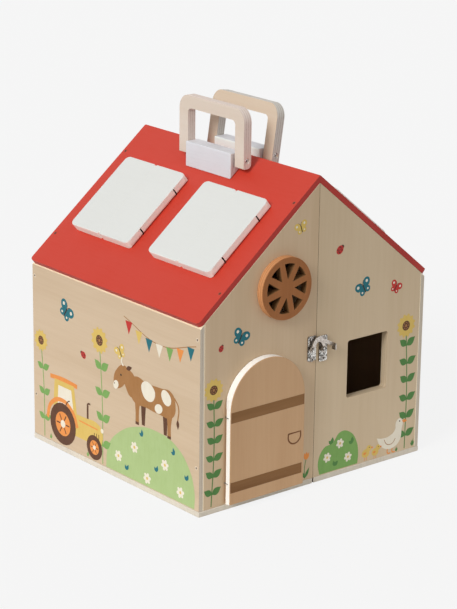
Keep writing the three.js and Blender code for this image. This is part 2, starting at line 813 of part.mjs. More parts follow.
// Assembly
const house = new THREE.Group();
house.name = 'toy_farmhouse';
for (const sideName of ['left', 'right']) {
  const side = houseSide(sideName);
  side.add(baseBoard(sideName), sideWall(sideName), roofSlope(sideName), handleBlock(sideName));
  side.add(handle(sideName, sideName === 'right' ? rightHandleLean : 0));
  const ends = sideName === 'left' ? [-1, 1] : [1, -1];
  side.add(handleScrew(`${sideName}_handle_screw_front`, ends[0]));
  side.add(handleScrew(`${sideName}_handle_screw_rear`, ends[1]));
  house.add(side);
}
house.add(leftFrontGable(), rightFrontGable(), backGable('left', -1), backGable('right', 1));
house.add(frontDoor(), wheelWindow());
house.add(keeperPlate(), hookPlate(), latchHook());
latchScrewPlaces().forEach((place, index) => house.add(latchScrew(place, index)));
hingeHeights.forEach((height, index) => {
  const level = ['lower', 'upper'][index];
  house.add(hingeLeaf(`${level}_hinge_left_leaf`, -1, height));
  house.add(hingeLeaf(`${level}_hinge_right_leaf`, 1, height));
  house.add(hingePin(`${level}_hinge_pin`, height));
});
house.position.y = -(doorFront + hingeBack) / 2;

export default house;
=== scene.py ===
# Wooden toy farmhouse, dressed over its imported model. Metres, in the model's own frame.
import json
from math import atan2, cos, hypot, pi, radians, sin

import bmesh
import bpy
from mathutils import Matrix, Vector


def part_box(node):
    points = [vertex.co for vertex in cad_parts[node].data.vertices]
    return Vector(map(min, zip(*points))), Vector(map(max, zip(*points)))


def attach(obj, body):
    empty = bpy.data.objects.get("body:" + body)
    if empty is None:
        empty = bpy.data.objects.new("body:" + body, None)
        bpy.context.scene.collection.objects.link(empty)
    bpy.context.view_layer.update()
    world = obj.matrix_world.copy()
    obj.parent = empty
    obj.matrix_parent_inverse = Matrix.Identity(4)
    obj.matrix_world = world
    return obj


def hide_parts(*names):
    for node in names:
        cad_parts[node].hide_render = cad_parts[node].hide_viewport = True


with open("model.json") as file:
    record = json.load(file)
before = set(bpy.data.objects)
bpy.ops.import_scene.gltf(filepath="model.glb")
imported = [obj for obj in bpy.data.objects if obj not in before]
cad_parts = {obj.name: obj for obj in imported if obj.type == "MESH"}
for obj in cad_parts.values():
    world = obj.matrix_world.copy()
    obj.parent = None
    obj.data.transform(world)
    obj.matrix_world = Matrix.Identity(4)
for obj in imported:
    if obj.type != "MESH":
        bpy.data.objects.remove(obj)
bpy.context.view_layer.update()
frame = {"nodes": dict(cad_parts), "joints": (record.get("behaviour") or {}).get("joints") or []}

# Studio: the camera stands where the photograph was taken from, in front of the left corner.
# The floor is one pale sheet that runs out of the picture. The light is a soft sky, a lamp from
# the left, and weak broad ones in front and behind, so the gable lies in a light shade.
CAMERA_PLACE = (-1.45507, -1.75190, 0.87374)
CAMERA_AZIMUTH = radians(-39.724)
CAMERA_ELEVATION = radians(17.342)
CAMERA_ROLL = radians(0.739)
LENS_PIXELS = 2193.7
PHOTO_HEIGHT_PIXELS = 609
SENSOR_WIDTH = 36
FAR_CLIP = 100
METAL_SPECULAR, DULL_SPECULAR = 0.5, 0.2
SHEET_REACH = 40
PALE_SHEET = (0.913, 0.913, 0.913, 1)
SHEET_SEEN = (0.08, 0.08, 0.08, 1)
SHEET_GLOW = 0.847
NEAR_BOUNCE = (0.81, 0.81, 0.81, 1)
FAR_BOUNCE = (0.31, 0.31, 0.31, 1)
NEAR_REACH, FAR_REACH = 0.45, 0.75
SKY_STRENGTH = 0.47
LAMPS = (
    ("side_lamp", 2.0, 26, (0.83, 0.17, -0.53)),
    ("front_lamp", 0.3, 90, (-0.15, 0.94, -0.30)),
    ("back_lamp", 0.3, 90, (-0.65, -0.72, -0.20)),
)


def photograph_camera():
    """The camera at its place, turned from its azimuth, elevation and roll."""
    back = Vector((
        sin(CAMERA_AZIMUTH) * cos(CAMERA_ELEVATION),
        -cos(CAMERA_AZIMUTH) * cos(CAMERA_ELEVATION),
        sin(CAMERA_ELEVATION),
    ))
    level = (-back).cross(Vector((0, 0, 1))).normalized()
    upright = level.cross(-back)
    right = level * cos(CAMERA_ROLL) + upright * sin(CAMERA_ROLL)
    up = upright * cos(CAMERA_ROLL) - level * sin(CAMERA_ROLL)
    data = bpy.data.cameras.new("photo_camera")
    data.sensor_width = SENSOR_WIDTH
    data.lens = SENSOR_WIDTH * LENS_PIXELS / PHOTO_HEIGHT_PIXELS
    data.clip_end = FAR_CLIP
    camera = bpy.data.objects.new("photo_camera", data)
    turn = Matrix((right, up, back)).transposed().to_4x4()
    camera.matrix_world = Matrix.Translation(CAMERA_PLACE) @ turn
    bpy.context.scene.collection.objects.link(camera)
    bpy.context.scene.camera = camera


def fed(tree, node, inputs):
    """Sets a node's sockets to plain values, or links them to other nodes' outputs."""
    for socket, value in inputs.items():
        if isinstance(value, (int, float, tuple)):
            node.inputs[socket].default_value = value
        else:
            tree.links.new(value, node.inputs[socket])


def placed(tree, kind, inputs=(), **settings):
    """A new node with its settings and its inputs."""
    node = tree.nodes.new("ShaderNode" + kind)
    for setting, value in settings.items():
        setattr(node, setting, value)
    fed(tree, node, dict(inputs))
    return node


def new_material(name, roughness, metallic=0.0):
    """A material, with its node tree and its shader."""
    material = bpy.data.materials.new(name)
    material.use_nodes = True
    shader = material.node_tree.nodes["Principled BSDF"]
    specular = METAL_SPECULAR if metallic else DULL_SPECULAR
    inputs = {"Roughness": roughness, "Metallic": metallic, "Specular IOR Level": specular}
    fed(material.node_tree, shader, inputs)
    return material, material.node_tree, shader


def calculated(tree, operation, *values):
    return placed(tree, "Math", enumerate(values), operation=operation).outputs[0]


def blended(tree, factor, first, second):
    inputs = {"Factor": factor, "A": first, "B": second}
    return placed(tree, "Mix", inputs, data_type="RGBA").outputs["Result"]


def own_place(tree):
    return placed(tree, "TexCoord").outputs["Object"]


def seen_or_mirrored(tree):
    """1 for what the camera or a shiny surface sees, 0 for the light that things throw."""
    path = placed(tree, "LightPath")
    return calculated(tree, "MAXIMUM", path.outputs["Is Camera Ray"], path.outputs["Is Glossy Ray"])


def floor_bounce(tree):
    """The light that the floor throws: more from close by, so the walls are lighter near the floor."""
    distance = placed(tree, "VectorMath", {0: own_place(tree)}, operation="LENGTH").outputs["Value"]
    reach = placed(tree, "MapRange", {"Value": distance, "From Min": NEAR_REACH, "From Max": FAR_REACH})
    return blended(tree, reach.outputs["Result"], NEAR_BOUNCE, FAR_BOUNCE)


def sheet_material():
    """The floor's sheet: one plain pale tone to the eye, and a soft bounce of light to the house."""
    material, tree, shader = new_material("studio_sheet", 0.9)
    seen = seen_or_mirrored(tree)
    fed(tree, shader, {
        "Specular IOR Level": 0,
        "Base Color": blended(tree, seen, floor_bounce(tree), SHEET_SEEN),
        "Emission Color": (1, 1, 1, 1),
        "Emission Strength": calculated(tree, "MULTIPLY", seen, SHEET_GLOW),
    })
    return material


def studio():
    """The floor's sheet and the lamps."""
    sheet = bmesh.new()
    bmesh.ops.create_grid(sheet, x_segments=4, y_segments=4, size=SHEET_REACH)
    mesh = bpy.data.meshes.new("studio_sheet")
    sheet.to_mesh(mesh)
    sheet.free()
    mesh.materials.append(sheet_material())
    floor = bpy.data.objects.new("studio_sheet", mesh)
    bpy.context.scene.collection.objects.link(floor)
    for name, strength, spread, direction in LAMPS:
        data = bpy.data.lights.new(name, "SUN")
        data.energy = strength
        data.angle = radians(spread)
        lamp = bpy.data.objects.new(name, data)
        lamp.rotation_euler = Vector(direction).to_track_quat("-Z", "Y").to_euler()
        bpy.context.scene.collection.objects.link(lamp)


def studio_sky():
    """A white sky that lights the house, and looks like the sheet where it is seen."""
    world = bpy.data.worlds.new("studio_sky")
    bpy.context.scene.world = world
    world.use_nodes = True
    tree = world.node_tree
    soft = tree.nodes["Background"]
    fed(tree, soft, {"Color": (1, 1, 1, 1), "Strength": SKY_STRENGTH})
    pale = placed(tree, "Background", {"Color": PALE_SHEET})
    seen = seen_or_mirrored(tree)
    mix = placed(tree, "MixShader", {"Fac": seen, 1: soft.outputs[0], 2: pale.outputs[0]})
    fed(tree, tree.nodes["World Output"], {"Surface": mix.outputs[0]})


bpy.context.scene.view_settings.view_transform = "Standard"
photograph_camera()
studio()
studio_sky()

# Base boards: one thin board under each half, painted off-white, with their sawn edges
# painted as well. A slot between the two shows dark at the seam. Like every board of the
# house, each is its node's own solid, with clean faces and eased edges.
MM = 0.001
SIDES = (("left", -1), ("right", 1))
MERGE_REACH = 0.002 * MM
FLAT_ANGLE = radians(0.8)
SHARP_ANGLE = radians(34)
EASED_ANGLE = radians(35)
FLAT_AREA = 0.0002
SLIT_EASE = 0.35 * MM
SEAM_REACH = 0.9 * MM
SEAM_FACING = 0.98
CLOUD_SHARE, FIBRE_SHARE = 0.55, 0.45


def srgb(red, green, blue):
    def linear(value):
        value = value / 255
        return value / 12.92 if value <= 0.04045 else ((value + 0.055) / 1.055) ** 2.4
    return (linear(red), linear(green), linear(blue), 1)


def noise(tree, vector, scale, detail, rough=0.6):
    inputs = {"Vector": vector, "Scale": scale, "Detail": detail, "Roughness": rough}
    return placed(tree, "TexNoise", inputs).outputs["Fac"]


def stretched(tree, vector, scale, turn=(0, 0, 0)):
    inputs = {"Vector": vector, "Scale": scale, "Rotation": turn}
    return placed(tree, "Mapping", inputs).outputs["Vector"]


def ranged(tree, value, low, high, to_low=0.0, to_high=1.0):
    inputs = {"Value": value, "From Min": low, "From Max": high, "To Min": to_low, "To Max": to_high}
    return placed(tree, "MapRange", inputs, interpolation_type="SMOOTHSTEP").outputs["Result"]


def bumped(tree, shader, height, distance, strength):
    bump = placed(tree, "Bump", {"Height": height, "Distance": distance, "Strength": strength})
    fed(tree, shader, {"Normal": bump.outputs["Normal"]})


def painted(name, colour, worn, roughness=0.45, depth=0.25, direction=(1, 1, 0.15), mottle=18):
    """A brushed, rolled or printed film with a faint mottle and the veneer telegraphing through."""
    material, tree, shader = new_material(name, roughness)
    place = own_place(tree)
    along = stretched(tree, place, direction)
    cloud = ranged(tree, noise(tree, place, mottle, detail=4), 0.3, 0.75)
    fibre = ranged(tree, noise(tree, along, scale=420, detail=4), 0.4, 0.72)
    faint = calculated(tree, "MULTIPLY", fibre, FIBRE_SHARE)
    both = calculated(tree, "MULTIPLY_ADD", cloud, CLOUD_SHARE, faint)
    factor = calculated(tree, "MULTIPLY", both, depth)
    fed(tree, shader, {
        "Base Color": blended(tree, factor, colour, worn),
        "Roughness": ranged(tree, both, 0, 1, roughness - 0.05, roughness + 0.1),
    })
    bumped(tree, shader, both, distance=0.04 * MM, strength=depth)
    return material


def ordered(bm):
    """Numbers the corners and the faces by their places, so a mesh is the same at each run."""
    for index, vert in enumerate(sorted(bm.verts, key=lambda vert: tuple(vert.co))):
        vert.index = index
    bm.verts.sort()
    ranks = {polygon: sorted(vert.index for vert in polygon.verts) for polygon in bm.faces}
    for index, polygon in enumerate(sorted(bm.faces, key=ranks.get)):
        polygon.index = index
    bm.faces.sort()


def finished(name, bm, body, materials, replaced=()):
    """Turns a bmesh into a piece that rides on a body, and that may stand for a node."""
    ordered(bm)
    mesh = bpy.data.meshes.new(name)
    bm.to_mesh(mesh)
    bm.free()
    for material in materials:
        mesh.materials.append(material)
    mesh.set_sharp_from_angle(angle=SHARP_ANGLE)
    for polygon in mesh.polygons:
        polygon.use_smooth = polygon.area < FLAT_AREA
    piece = bpy.data.objects.new(name, mesh)
    bpy.context.scene.collection.objects.link(piece)
    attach(piece, body)
    if replaced:
        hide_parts(*replaced)


def board(node, name, body, materials, ease, turns=2, face=None, eased=None, strip=None,
          slits=None, nudge=None):
    """A node's own solid with clean faces, eased edges and a material for each kind of face.

    face and strip number the materials, before and after the edges are eased. eased and slits
    pick the edges that are rounded wide and narrow, and nudge moves the corners first.
    """
    bm = bmesh.new()
    bm.from_mesh(frame["nodes"][node].data)
    bmesh.ops.remove_doubles(bm, verts=bm.verts, dist=MERGE_REACH)
    bmesh.ops.dissolve_limit(bm, angle_limit=FLAT_ANGLE, verts=bm.verts, edges=bm.edges)
    bmesh.ops.recalc_face_normals(bm, faces=bm.faces)
    if nudge:
        for vert in bm.verts:
            vert.co += Vector(nudge(vert))
    for polygon in bm.faces:
        polygon.material_index = face(polygon) if face else 0
    for pick, offset, segments in ((slits, SLIT_EASE, 2), (eased or (lambda edge: True), ease, turns)):
        edges = [
            edge for edge in bm.edges
            if pick and len(edge.link_faces) == 2
            and edge.calc_face_angle(0) > EASED_ANGLE and pick(edge)
        ]
        bmesh.ops.bevel(bm, geom=edges, offset=offset, segments=segments, profile=0.5, affect="EDGES",
                        material=-1, clamp_overlap=True, miter_outer="ARC")
    bm.normal_update()
    for polygon in bm.faces:
        changed = strip(polygon) if strip else None
        if changed is not None:
            polygon.material_index = changed
    finished(name, bm, body, materials, (node,))


def at_seam(polygon):
    """Numbers the faces along the seam of the two halves, which lie in shade, 1."""
    near_seam = abs(polygon.calc_center_median().x) < SEAM_REACH
    return 1 if near_seam and abs(polygon.normal.y) < SEAM_FACING else None


base_paint = painted("base_paint", srgb(222, 213, 198), srgb(192, 180, 163), depth=0.5)
seam_shade = painted("seam_shade", srgb(92, 66, 48), srgb(64, 44, 32), 0.7, 0.8)
for side, sign in SIDES:
    board(f"{side}_base_board", f"{side}_base", f"{side}_half", [base_paint, seam_shade],
          0.8 * MM, strip=at_seam)

# Walls: two side walls of thin plywood, glued and screwed over the ends of the thicker gables.
# Their outer faces are pale veneer, and the inner ones are painted a darker brown as painted shade
# inside the house. The side walls' sawn edges are sealed grey, with a pale line painted along the
# gables as a painted highlight, and the eased corners along the roof and at the gables' outer ends
# are painted pale as a painted highlight.
SIDE_PALE = srgb(211, 188, 160)
SIDE_DARK = srgb(200, 175, 145)
GABLE_PALE = {"left": srgb(211, 186, 155), "right": srgb(213, 192, 162)}
GABLE_DARK = {"left": srgb(199, 173, 140), "right": srgb(203, 180, 148)}
SEALED_PALE = srgb(207, 196, 179)
SEALED_DARK = srgb(188, 173, 155)
# The inner faces are painted darker than the outer veneer, as painted shade inside the house.
INNER_SHADED_PALE = srgb(184, 146, 110)
INNER_SHADED_DARK = srgb(166, 128, 92)
# Painted highlight: a pale line on the side walls' sawn edges next to the gables.
EDGE_LINE_HIGHLIGHT = srgb(254, 240, 212)
# Painted highlight: the eased corners along the roof and at the gables' outer ends are painted pale.
LIT_CORNER_PALE = srgb(254, 238, 208)
LIT_CORNER_DARK = srgb(246, 226, 190)
WALL_LAYER = 1.2 * MM
GABLE_LAYER = 1.5 * MM
EDGE_LINE_FADE = (0.8 * MM, 1.1 * MM)
# The numbers of a wall's materials, where 1 is the seam's shade and 4 the painted corner highlight.
# A face faces a direction when its normal goes along it by more than FACING, and is tilted towards
# it from TILTED on.
EDGE, OUTER, INNER, LIT_CORNER = 0, 2, 3, 4
FACING = 0.9
TILTED = 0.2
LONG_EDGE = 2 * MM
GRAIN_TURNS = {"up": (0, 0, 0), "deep": (radians(90), 0, 0), "wide": (0, radians(90), 0)}
BAND_SHARE, LINE_SHARE, PORE_SHARE = 0.72, 0.28, 0.3


def group_of(name, inputs, outputs):
    """A group with its named sockets, its input node and its output node."""
    group = bpy.data.node_groups.new(name, "ShaderNodeTree")
    for socket, kind, value in inputs:
        entry = group.interface.new_socket(socket, in_out="INPUT", socket_type="NodeSocket" + kind)
        if value is not None:
            entry.default_value = value
    for socket, kind in outputs:
        group.interface.new_socket(socket, in_out="OUTPUT", socket_type="NodeSocket" + kind)
    return group, group.nodes.new("NodeGroupInput"), group.nodes.new("NodeGroupOutput")


def veneer_group():
    """A veneer's grain along Z of the vector: broad bands, fine lines, and darker pores."""
    tree, start, end = group_of(
        "Veneer grain",
        (("Vector", "Vector", None), ("Pale", "Color", None), ("Dark", "Color", None),
         ("Depth", "Float", 1.0)),
        (("Colour", "Color"), ("Height", "Float")),
    )
    vector, pale, dark = (start.outputs[socket] for socket in ("Vector", "Pale", "Dark"))
    broad = noise(tree, stretched(tree, vector, (1, 1, 0.12)), scale=22, detail=3)
    streak = noise(tree, stretched(tree, vector, (1, 1, 0.035)), scale=330, detail=5, rough=0.65)
    fleck = noise(tree, stretched(tree, vector, (1, 1, 0.07)), scale=1500, detail=2)
    bands = ranged(tree, broad, 0.3, 0.7)
    lines = ranged(tree, streak, 0.34, 0.68)
    pores = ranged(tree, fleck, 0.66, 0.78)
    fine = calculated(tree, "MULTIPLY", lines, LINE_SHARE)
    mixed = calculated(tree, "MULTIPLY_ADD", bands, BAND_SHARE, fine)
    depth = calculated(tree, "MULTIPLY", mixed, start.outputs["Depth"])
    spots = calculated(tree, "MULTIPLY", pores, PORE_SHARE)
    fed(tree, end, {
        "Colour": blended(tree, spots, blended(tree, depth, pale, dark), dark),
        "Height": calculated(tree, "SUBTRACT", lines, pores),
    })
    return tree


def layer_group():
    """The glued layers that show on a sawn edge, counted by the distance across them."""
    tree, start, end = group_of(
        "Plywood layers",
        (("Vector", "Vector", None), ("Across", "Float", 0.0), ("Layer", "Float", WALL_LAYER),
         ("Pale", "Color", None), ("Dark", "Color", None)),
        (("Colour", "Color"),),
    )
    wave = calculated(tree, "DIVIDE", start.outputs["Across"], start.outputs["Layer"])
    wave = calculated(tree, "SINE", calculated(tree, "MULTIPLY", wave, pi))
    layers = ranged(tree, wave, -0.35, 0.35)
    rough = noise(tree, start.outputs["Vector"], scale=700, detail=3)
    amount = calculated(tree, "MULTIPLY", layers, ranged(tree, rough, 0.35, 0.65, 0.55, 1.0))
    fed(tree, end, {"Colour": blended(tree, amount, start.outputs["Pale"], start.outputs["Dark"])})
    return tree


VENEER = veneer_group()
LAYERS = layer_group()


def veneered(name, pale, dark, grain, depth=0.8, roughness=0.5):
    """A clear coated veneer face with its grain up, deep (along Y) or wide (along X)."""
    material, tree, shader = new_material(name, roughness)
    vector = stretched(tree, own_place(tree), (1, 1, 1), GRAIN_TURNS[grain])
    inputs = {"Vector": vector, "Pale": pale, "Dark": dark, "Depth": depth}
    wood = placed(tree, "Group", inputs, node_tree=VENEER).outputs
    fed(tree, shader, {
        "Base Color": wood["Colour"],
        "Roughness": ranged(tree, wood["Height"], -0.5, 1.0, roughness - 0.06, roughness + 0.08),
    })
    bumped(tree, shader, wood["Height"], distance=0.03 * MM, strength=0.5)
    return material


def sawn_edge(name, pale, dark, direction, start, layer):
    """A plywood edge whose layers are counted from a start along a direction."""
    material, tree, shader = new_material(name, 0.6)
    place = own_place(tree)
    along = placed(tree, "VectorMath", {0: place, 1: direction}, operation="DOT_PRODUCT")
    across = calculated(tree, "SUBTRACT", along.outputs["Value"], start)
    inputs = {"Vector": place, "Across": across, "Layer": layer, "Pale": pale, "Dark": dark}
    edge = placed(tree, "Group", inputs, node_tree=LAYERS)
    fed(tree, shader, {"Base Color": edge.outputs["Colour"]})
    fibre = noise(tree, place, scale=900, detail=2)
    bumped(tree, shader, fibre, distance=0.06 * MM, strength=0.5)
    return material


def paints_edge_line_highlight(material, inner_face):
    """Paints the sealed sawn edge pale near its inner face: a painted highlight, as a thin line along
    the gables.
    """
    tree = material.node_tree
    shader = tree.nodes["Principled BSDF"]
    layers = shader.inputs["Base Color"].links[0].from_socket
    place = placed(tree, "SeparateXYZ", {0: own_place(tree)})
    off_centre = calculated(tree, "ABSOLUTE", place.outputs["X"])
    near, far = (inner_face + reach for reach in EDGE_LINE_FADE)
    line_highlight = ranged(tree, off_centre, near, far, 1.0, 0.0)
    fed(tree, shader, {"Base Color": blended(tree, line_highlight, layers, EDGE_LINE_HIGHLIGHT)})


def outer_inner_edge(out):
    """Numbers a wall's sawn edges, its outer face and its inner one."""
    def face(polygon):
        facing_out = polygon.normal.dot(Vector(out))
        return EDGE if abs(facing_out) < FACING else OUTER if facing_out > 0 else INNER
    return face


def highlight_under_roof(sign):
    """Numbers the corner of a side wall that shows as a line under the roof, painted pale as a painted
    highlight.
    """
    def strip(polygon):
        return LIT_CORNER if polygon.normal.x * sign > TILTED and polygon.normal.z > TILTED else None
    return strip


def corner_highlight_or_seam(sign):
    """Numbers a gable's corners along the side wall and the roof, painted pale as a painted highlight,
    and its seam.
    """
    def strip(polygon):
        corner = polygon.normal.x * sign > TILTED and abs(polygon.normal.y) > TILTED
        return LIT_CORNER if corner else at_seam(polygon)
    return strip


def long_off_seam(edge):
    """True for a gable's long edges, apart from those at the seam, where the two halves meet."""
    return edge.calc_length() > LONG_EDGE and any(abs(vert.co.x) > SEAM_REACH for vert in edge.verts)


side_left, side_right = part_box("left_side_wall")[0].x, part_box("right_side_wall")[1].x
gable_front, gable_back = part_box("left_front_gable")[0].y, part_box("left_back_gable")[1].y
side_veneer = veneered("side_wall_veneer", SIDE_PALE, SIDE_DARK, "deep")
# Painted shade: the inner faces' veneer is darker than the outer one.
inner_veneer_shaded = veneered("inner_veneer_shaded", INNER_SHADED_PALE, INNER_SHADED_DARK, "up")
side_edge = sawn_edge("side_wall_edge", SEALED_PALE, SEALED_DARK, (1, 0, 0), side_left, WALL_LAYER)
# Painted highlight: a pale line on the side walls' sawn edges next to the gables.
paints_edge_line_highlight(side_edge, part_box("right_side_wall")[0].x)
# A pale copy of the sealed edge: a painted highlight on the eased corners.
painted_corner_highlight = sawn_edge("painted_corner_highlight", LIT_CORNER_PALE, LIT_CORNER_DARK, (1, 0, 0), side_left, WALL_LAYER)
for side, sign in SIDES:
    board(f"{side}_side_wall", f"{side}_wall", f"{side}_half",
          [side_edge, seam_shade, side_veneer, inner_veneer_shaded, painted_corner_highlight], 0.7 * MM,
          face=outer_inner_edge((sign, 0, 0)), strip=highlight_under_roof(sign))
    pale, dark = GABLE_PALE[side], GABLE_DARK[side]
    gable_veneer = veneered(f"{side}_gable_veneer", pale, dark, "up")
    gable_edge = sawn_edge(f"{side}_gable_edge", pale, dark, (0, 1, 0), gable_front, GABLE_LAYER)
    for end, out in (("front", (0, -1, 0)), ("back", (0, 1, 0))):
        board(f"{side}_{end}_gable", f"{side}_{end}_wall", f"{side}_half",
              [gable_edge, seam_shade, gable_veneer, inner_veneer_shaded, painted_corner_highlight], 0.5 * MM,
              face=outer_inner_edge(out), strip=corner_highlight_or_seam(sign), eased=long_off_seam)

# Printed farm scenes: flat inks, screen printed on the walls before the house is put together.
# Each shape is a thin film on the veneer, and shapes that lie over others are a layer higher.
# Both side walls have the same scene, and each gable half has a smaller one of its own.
INKS = {
    "meadow": ((173, 194, 134), (163, 184, 122)),
    "leaf": ((126, 168, 92), (110, 152, 80)),
    "pine": ((84, 132, 70), (72, 116, 62)),
    "bark": ((168, 120, 72), (154, 106, 60)),
    "umber": ((96, 62, 42), (82, 52, 36)),
    "soot": ((46, 38, 34), (60, 50, 44)),
    "teal": ((38, 112, 122), (32, 98, 110)),
    "straw": ((220, 189, 104), (210, 176, 90)),
    "amber": ((232, 148, 76), (220, 132, 66)),
    "poppy": ((196, 58, 52), (178, 48, 46)),
    "cream": ((236, 228, 210), (226, 214, 192)),
}
FILM = 0.05
FILM_LAYER = 0.014
FILM_HAIR = 0.0008
FILM_HAIRS = 16
CURVE_STEPS = 6
STEM_BOW = 2.2
ink_films = {ink: painted(f"ink_{ink}", srgb(*colour), srgb(*worn), 0.5, 0.6, mottle=60)
             for ink, (colour, worn) in INKS.items()}


def moved(points, centre, turn=0.0, size=1.0):
    """Points of a motif, sized, turned by degrees and brought to a place on the wall."""
    angle = radians(turn)
    return [
        (centre[0] + size * (x * cos(angle) - y * sin(angle)),
         centre[1] + size * (x * sin(angle) + y * cos(angle)), *sharp)
        for x, y, *sharp in points
    ]


def spot(x, y, centre, turn=0.0, size=1.0):
    """One point of a motif, brought to its place in the same way."""
    return moved([(x, y)], centre, turn, size)[0]


def inked(page, ink, layer, points, width=0.0):
    """A filled outline, or a line of a width, through points; a third value makes a sharp corner."""
    curve = bpy.data.curves.new("inked", "CURVE")
    curve.resolution_u = CURVE_STEPS
    if width:
        curve.dimensions = "3D"
        curve.twist_mode = "Z_UP"
        curve.extrude = width / 2
    else:
        curve.dimensions = "2D"
        curve.fill_mode = "BOTH"
    spline = curve.splines.new("BEZIER")
    spline.bezier_points.add(len(points) - 1)
    spline.use_cyclic_u = not width
    for knot, (x, y, *sharp) in zip(spline.bezier_points, points):
        knot.handle_left_type = knot.handle_right_type = "VECTOR" if sharp else "AUTO"
        knot.tilt = radians(90) if width else 0
        knot.co = (x, y, 0)
    holder = bpy.data.objects.new("inked", curve)
    page.append((ink, layer, bpy.data.meshes.new_from_object(holder)))
    bpy.data.objects.remove(holder)
    bpy.data.curves.remove(curve)


def pen(page, centre, size=1.0):
    """Inks the parts of a motif at the motif's own place and size."""
    def part(ink, layer, points, width=0.0):
        inked(page, ink, layer, moved(points, centre, 0, size), width)
    return part


def disc(page, ink, layer, centre, radius, squash=1.0, turn=0.0):
    ring = [(radius, 0), (0, radius * squash), (-radius, 0), (0, -radius * squash)]
    inked(page, ink, layer, moved(ring, centre, turn))


def leaf(page, ink, layer, foot, turn, length, width):
    outline = [(0, 0, 1), (0.4 * length, width / 2), (length, 0, 1), (0.4 * length, -width / 2)]
    inked(page, ink, layer, moved(outline, foot, turn))


def petal(page, ink, layer, foot, turn, length, width):
    outline = [(0, 0, 1), (0.62 * length, width / 2), (length, 0), (0.62 * length, -width / 2)]
    inked(page, ink, layer, moved(outline, foot, turn))


def sprig(page, ink, foot, turn, spread, widths):
    leaf(page, ink, 1, foot, turn, 8, widths[0])
    leaf(page, ink, 1, foot, turn + spread, 6.5, widths[1])


def daisy(page, centre, size):
    for step in range(6):
        petal(page, "cream", 2, centre, 60 * step + 12, size, 0.62 * size)
    disc(page, "straw", 3, centre, 0.26 * size)


def tulip(page, foot, height, ink, size):
    top = (foot[0] + 0.06 * height, foot[1] + height)
    inked(page, "pine", 0, [foot, (foot[0] - 0.03 * height, foot[1] + height / 2), top], 0.9)
    leaf(page, "pine", 1, foot, 62, 0.6 * height, 0.17 * height)
    leaf(page, "pine", 1, foot, 118, 0.5 * height, 0.15 * height)
    cup = [(-0.7, 0.2), (-0.75, 1.6, 1), (-0.35, 1.15, 1), (0, 1.75, 1), (0.35, 1.15, 1), (0.75, 1.6, 1),
           (0.7, 0.2), (0, -0.2)]
    inked(page, ink, 2, moved(cup, top, -6, size))


def sunflower(page, foot, top, size, leaves, green="pine"):
    middle = ((foot[0] + top[0]) / 2 + STEM_BOW, (foot[1] + top[1]) / 2)
    inked(page, green, 0, [foot, middle, top], 1.3)
    for step in range(leaves):
        share = (step + 0.7) / (leaves + 0.8)
        bow = STEM_BOW * sin(pi * share)
        node = (foot[0] + share * (top[0] - foot[0]) + bow, foot[1] + share * (top[1] - foot[1]))
        leaf(page, green, 1, node, 28 + 6 * (step % 2), 1.25 * size, 0.72 * size)
        leaf(page, green, 1, node, 150 - 8 * (step % 2), 1.1 * size, 0.66 * size)
    for ring, turn in ((0.96, 0), (1.12, 15)):
        for step in range(12):
            petal(page, "straw", 2, top, 30 * step + turn, ring * size, 0.34 * size)
    disc(page, "umber", 3, top, 0.46 * size)
    for step in range(8):
        disc(page, "bark", 4, spot(0.3 * size, 0, top, 45 * step), 0.06 * size)
    disc(page, "bark", 4, top, 0.13 * size)


def butterfly(page, ink, centre, size, turn):
    for side in (-1, 1):
        petal(page, ink, 1, centre, turn + side * 52, size, 0.74 * size)
        petal(page, ink, 1, centre, turn + side * 128, 0.68 * size, 0.56 * size)
        for angle, reach, radius in ((52, 0.66, 0.13), (128, 0.42, 0.09)):
            disc(page, "cream", 2, spot(reach * size, 0, centre, turn + side * angle), radius * size)
        feeler = moved([(0.3, 0), (0.52, side * 0.1), (0.66, side * 0.24)], centre, turn, size)
        inked(page, "soot", 2, feeler, 0.04 * size)
    inked(page, "soot", 3, moved([(-0.42, 0), (0, 0), (0.32, 0)], centre, turn, size), 0.11 * size)


def ladybird(page, centre, size, turn):
    disc(page, "soot", 1, spot(0.86 * size, 0, centre, turn), 0.42 * size)
    disc(page, "poppy", 2, centre, size, 0.84, turn)
    inked(page, "soot", 3, moved([(-1, 0), (0.9, 0)], centre, turn, size), 0.1 * size)
    for x, y in ((0.35, 0.42), (0.35, -0.42), (-0.4, 0.4), (-0.4, -0.4)):
        disc(page, "soot", 3, spot(x, y, centre, turn, size), 0.17 * size)


def tuft(page, foot, size=7.0, ink="leaf"):
    for turn, share in ((62, 0.7), (82, 1.0), (101, 0.85), (122, 0.6)):
        leaf(page, ink, 1, foot, turn, share * size, 0.2 * size)


def tractor(page, foot):
    part = pen(page, foot)
    part("umber", 0, [(46, 40, 1), (46, 59, 1)], 3.2)
    part("umber", 0, [(45, 59), (48, 61), (51, 61)], 2)
    part("amber", 0, [(-23, 74), (2, 75.5), (27, 74)], 5)
    part("straw", 1, [(-19, 22, 1), (-15, 73, 1), (21, 73, 1), (26, 42, 1), (26, 22, 1)])
    part("cream", 2, [(-10, 40, 1), (-8, 67, 1), (16, 67, 1), (20, 42, 1)])
    part("umber", 3, [(4, 42), (9, 52), (13, 54)], 1.4)
    part("straw", 1, [(8, 17, 1), (70, 17, 1), (73, 34), (66, 42), (40, 43), (12, 42, 1)])
    part("amber", 2, [(30, 37, 1), (64, 36, 1)], 1.6)
    for reach in (58, 62, 66):
        part("umber", 2, [(reach, 21, 1), (reach, 31, 1)], 1.1)
    part("amber", 3, [(-29, 24), (-23, 41), (-3, 51), (18, 43), (27, 27)], 5)
    for reach, radius in ((0, 24), (58, 14)):
        centre = spot(reach, radius, foot)
        disc(page, "umber", 4, centre, radius)
        disc(page, "amber", 5, centre, 0.58 * radius)
        for step in range(6):
            spoke = moved([(0.2 * radius, 0, 1), (0.5 * radius, 0, 1)], centre, 60 * step)
            inked(page, "umber", 6, spoke, 0.06 * radius)
        disc(page, "cream", 7, centre, 0.18 * radius)
    disc(page, "cream", 2, spot(72, 37, foot), 2.6)


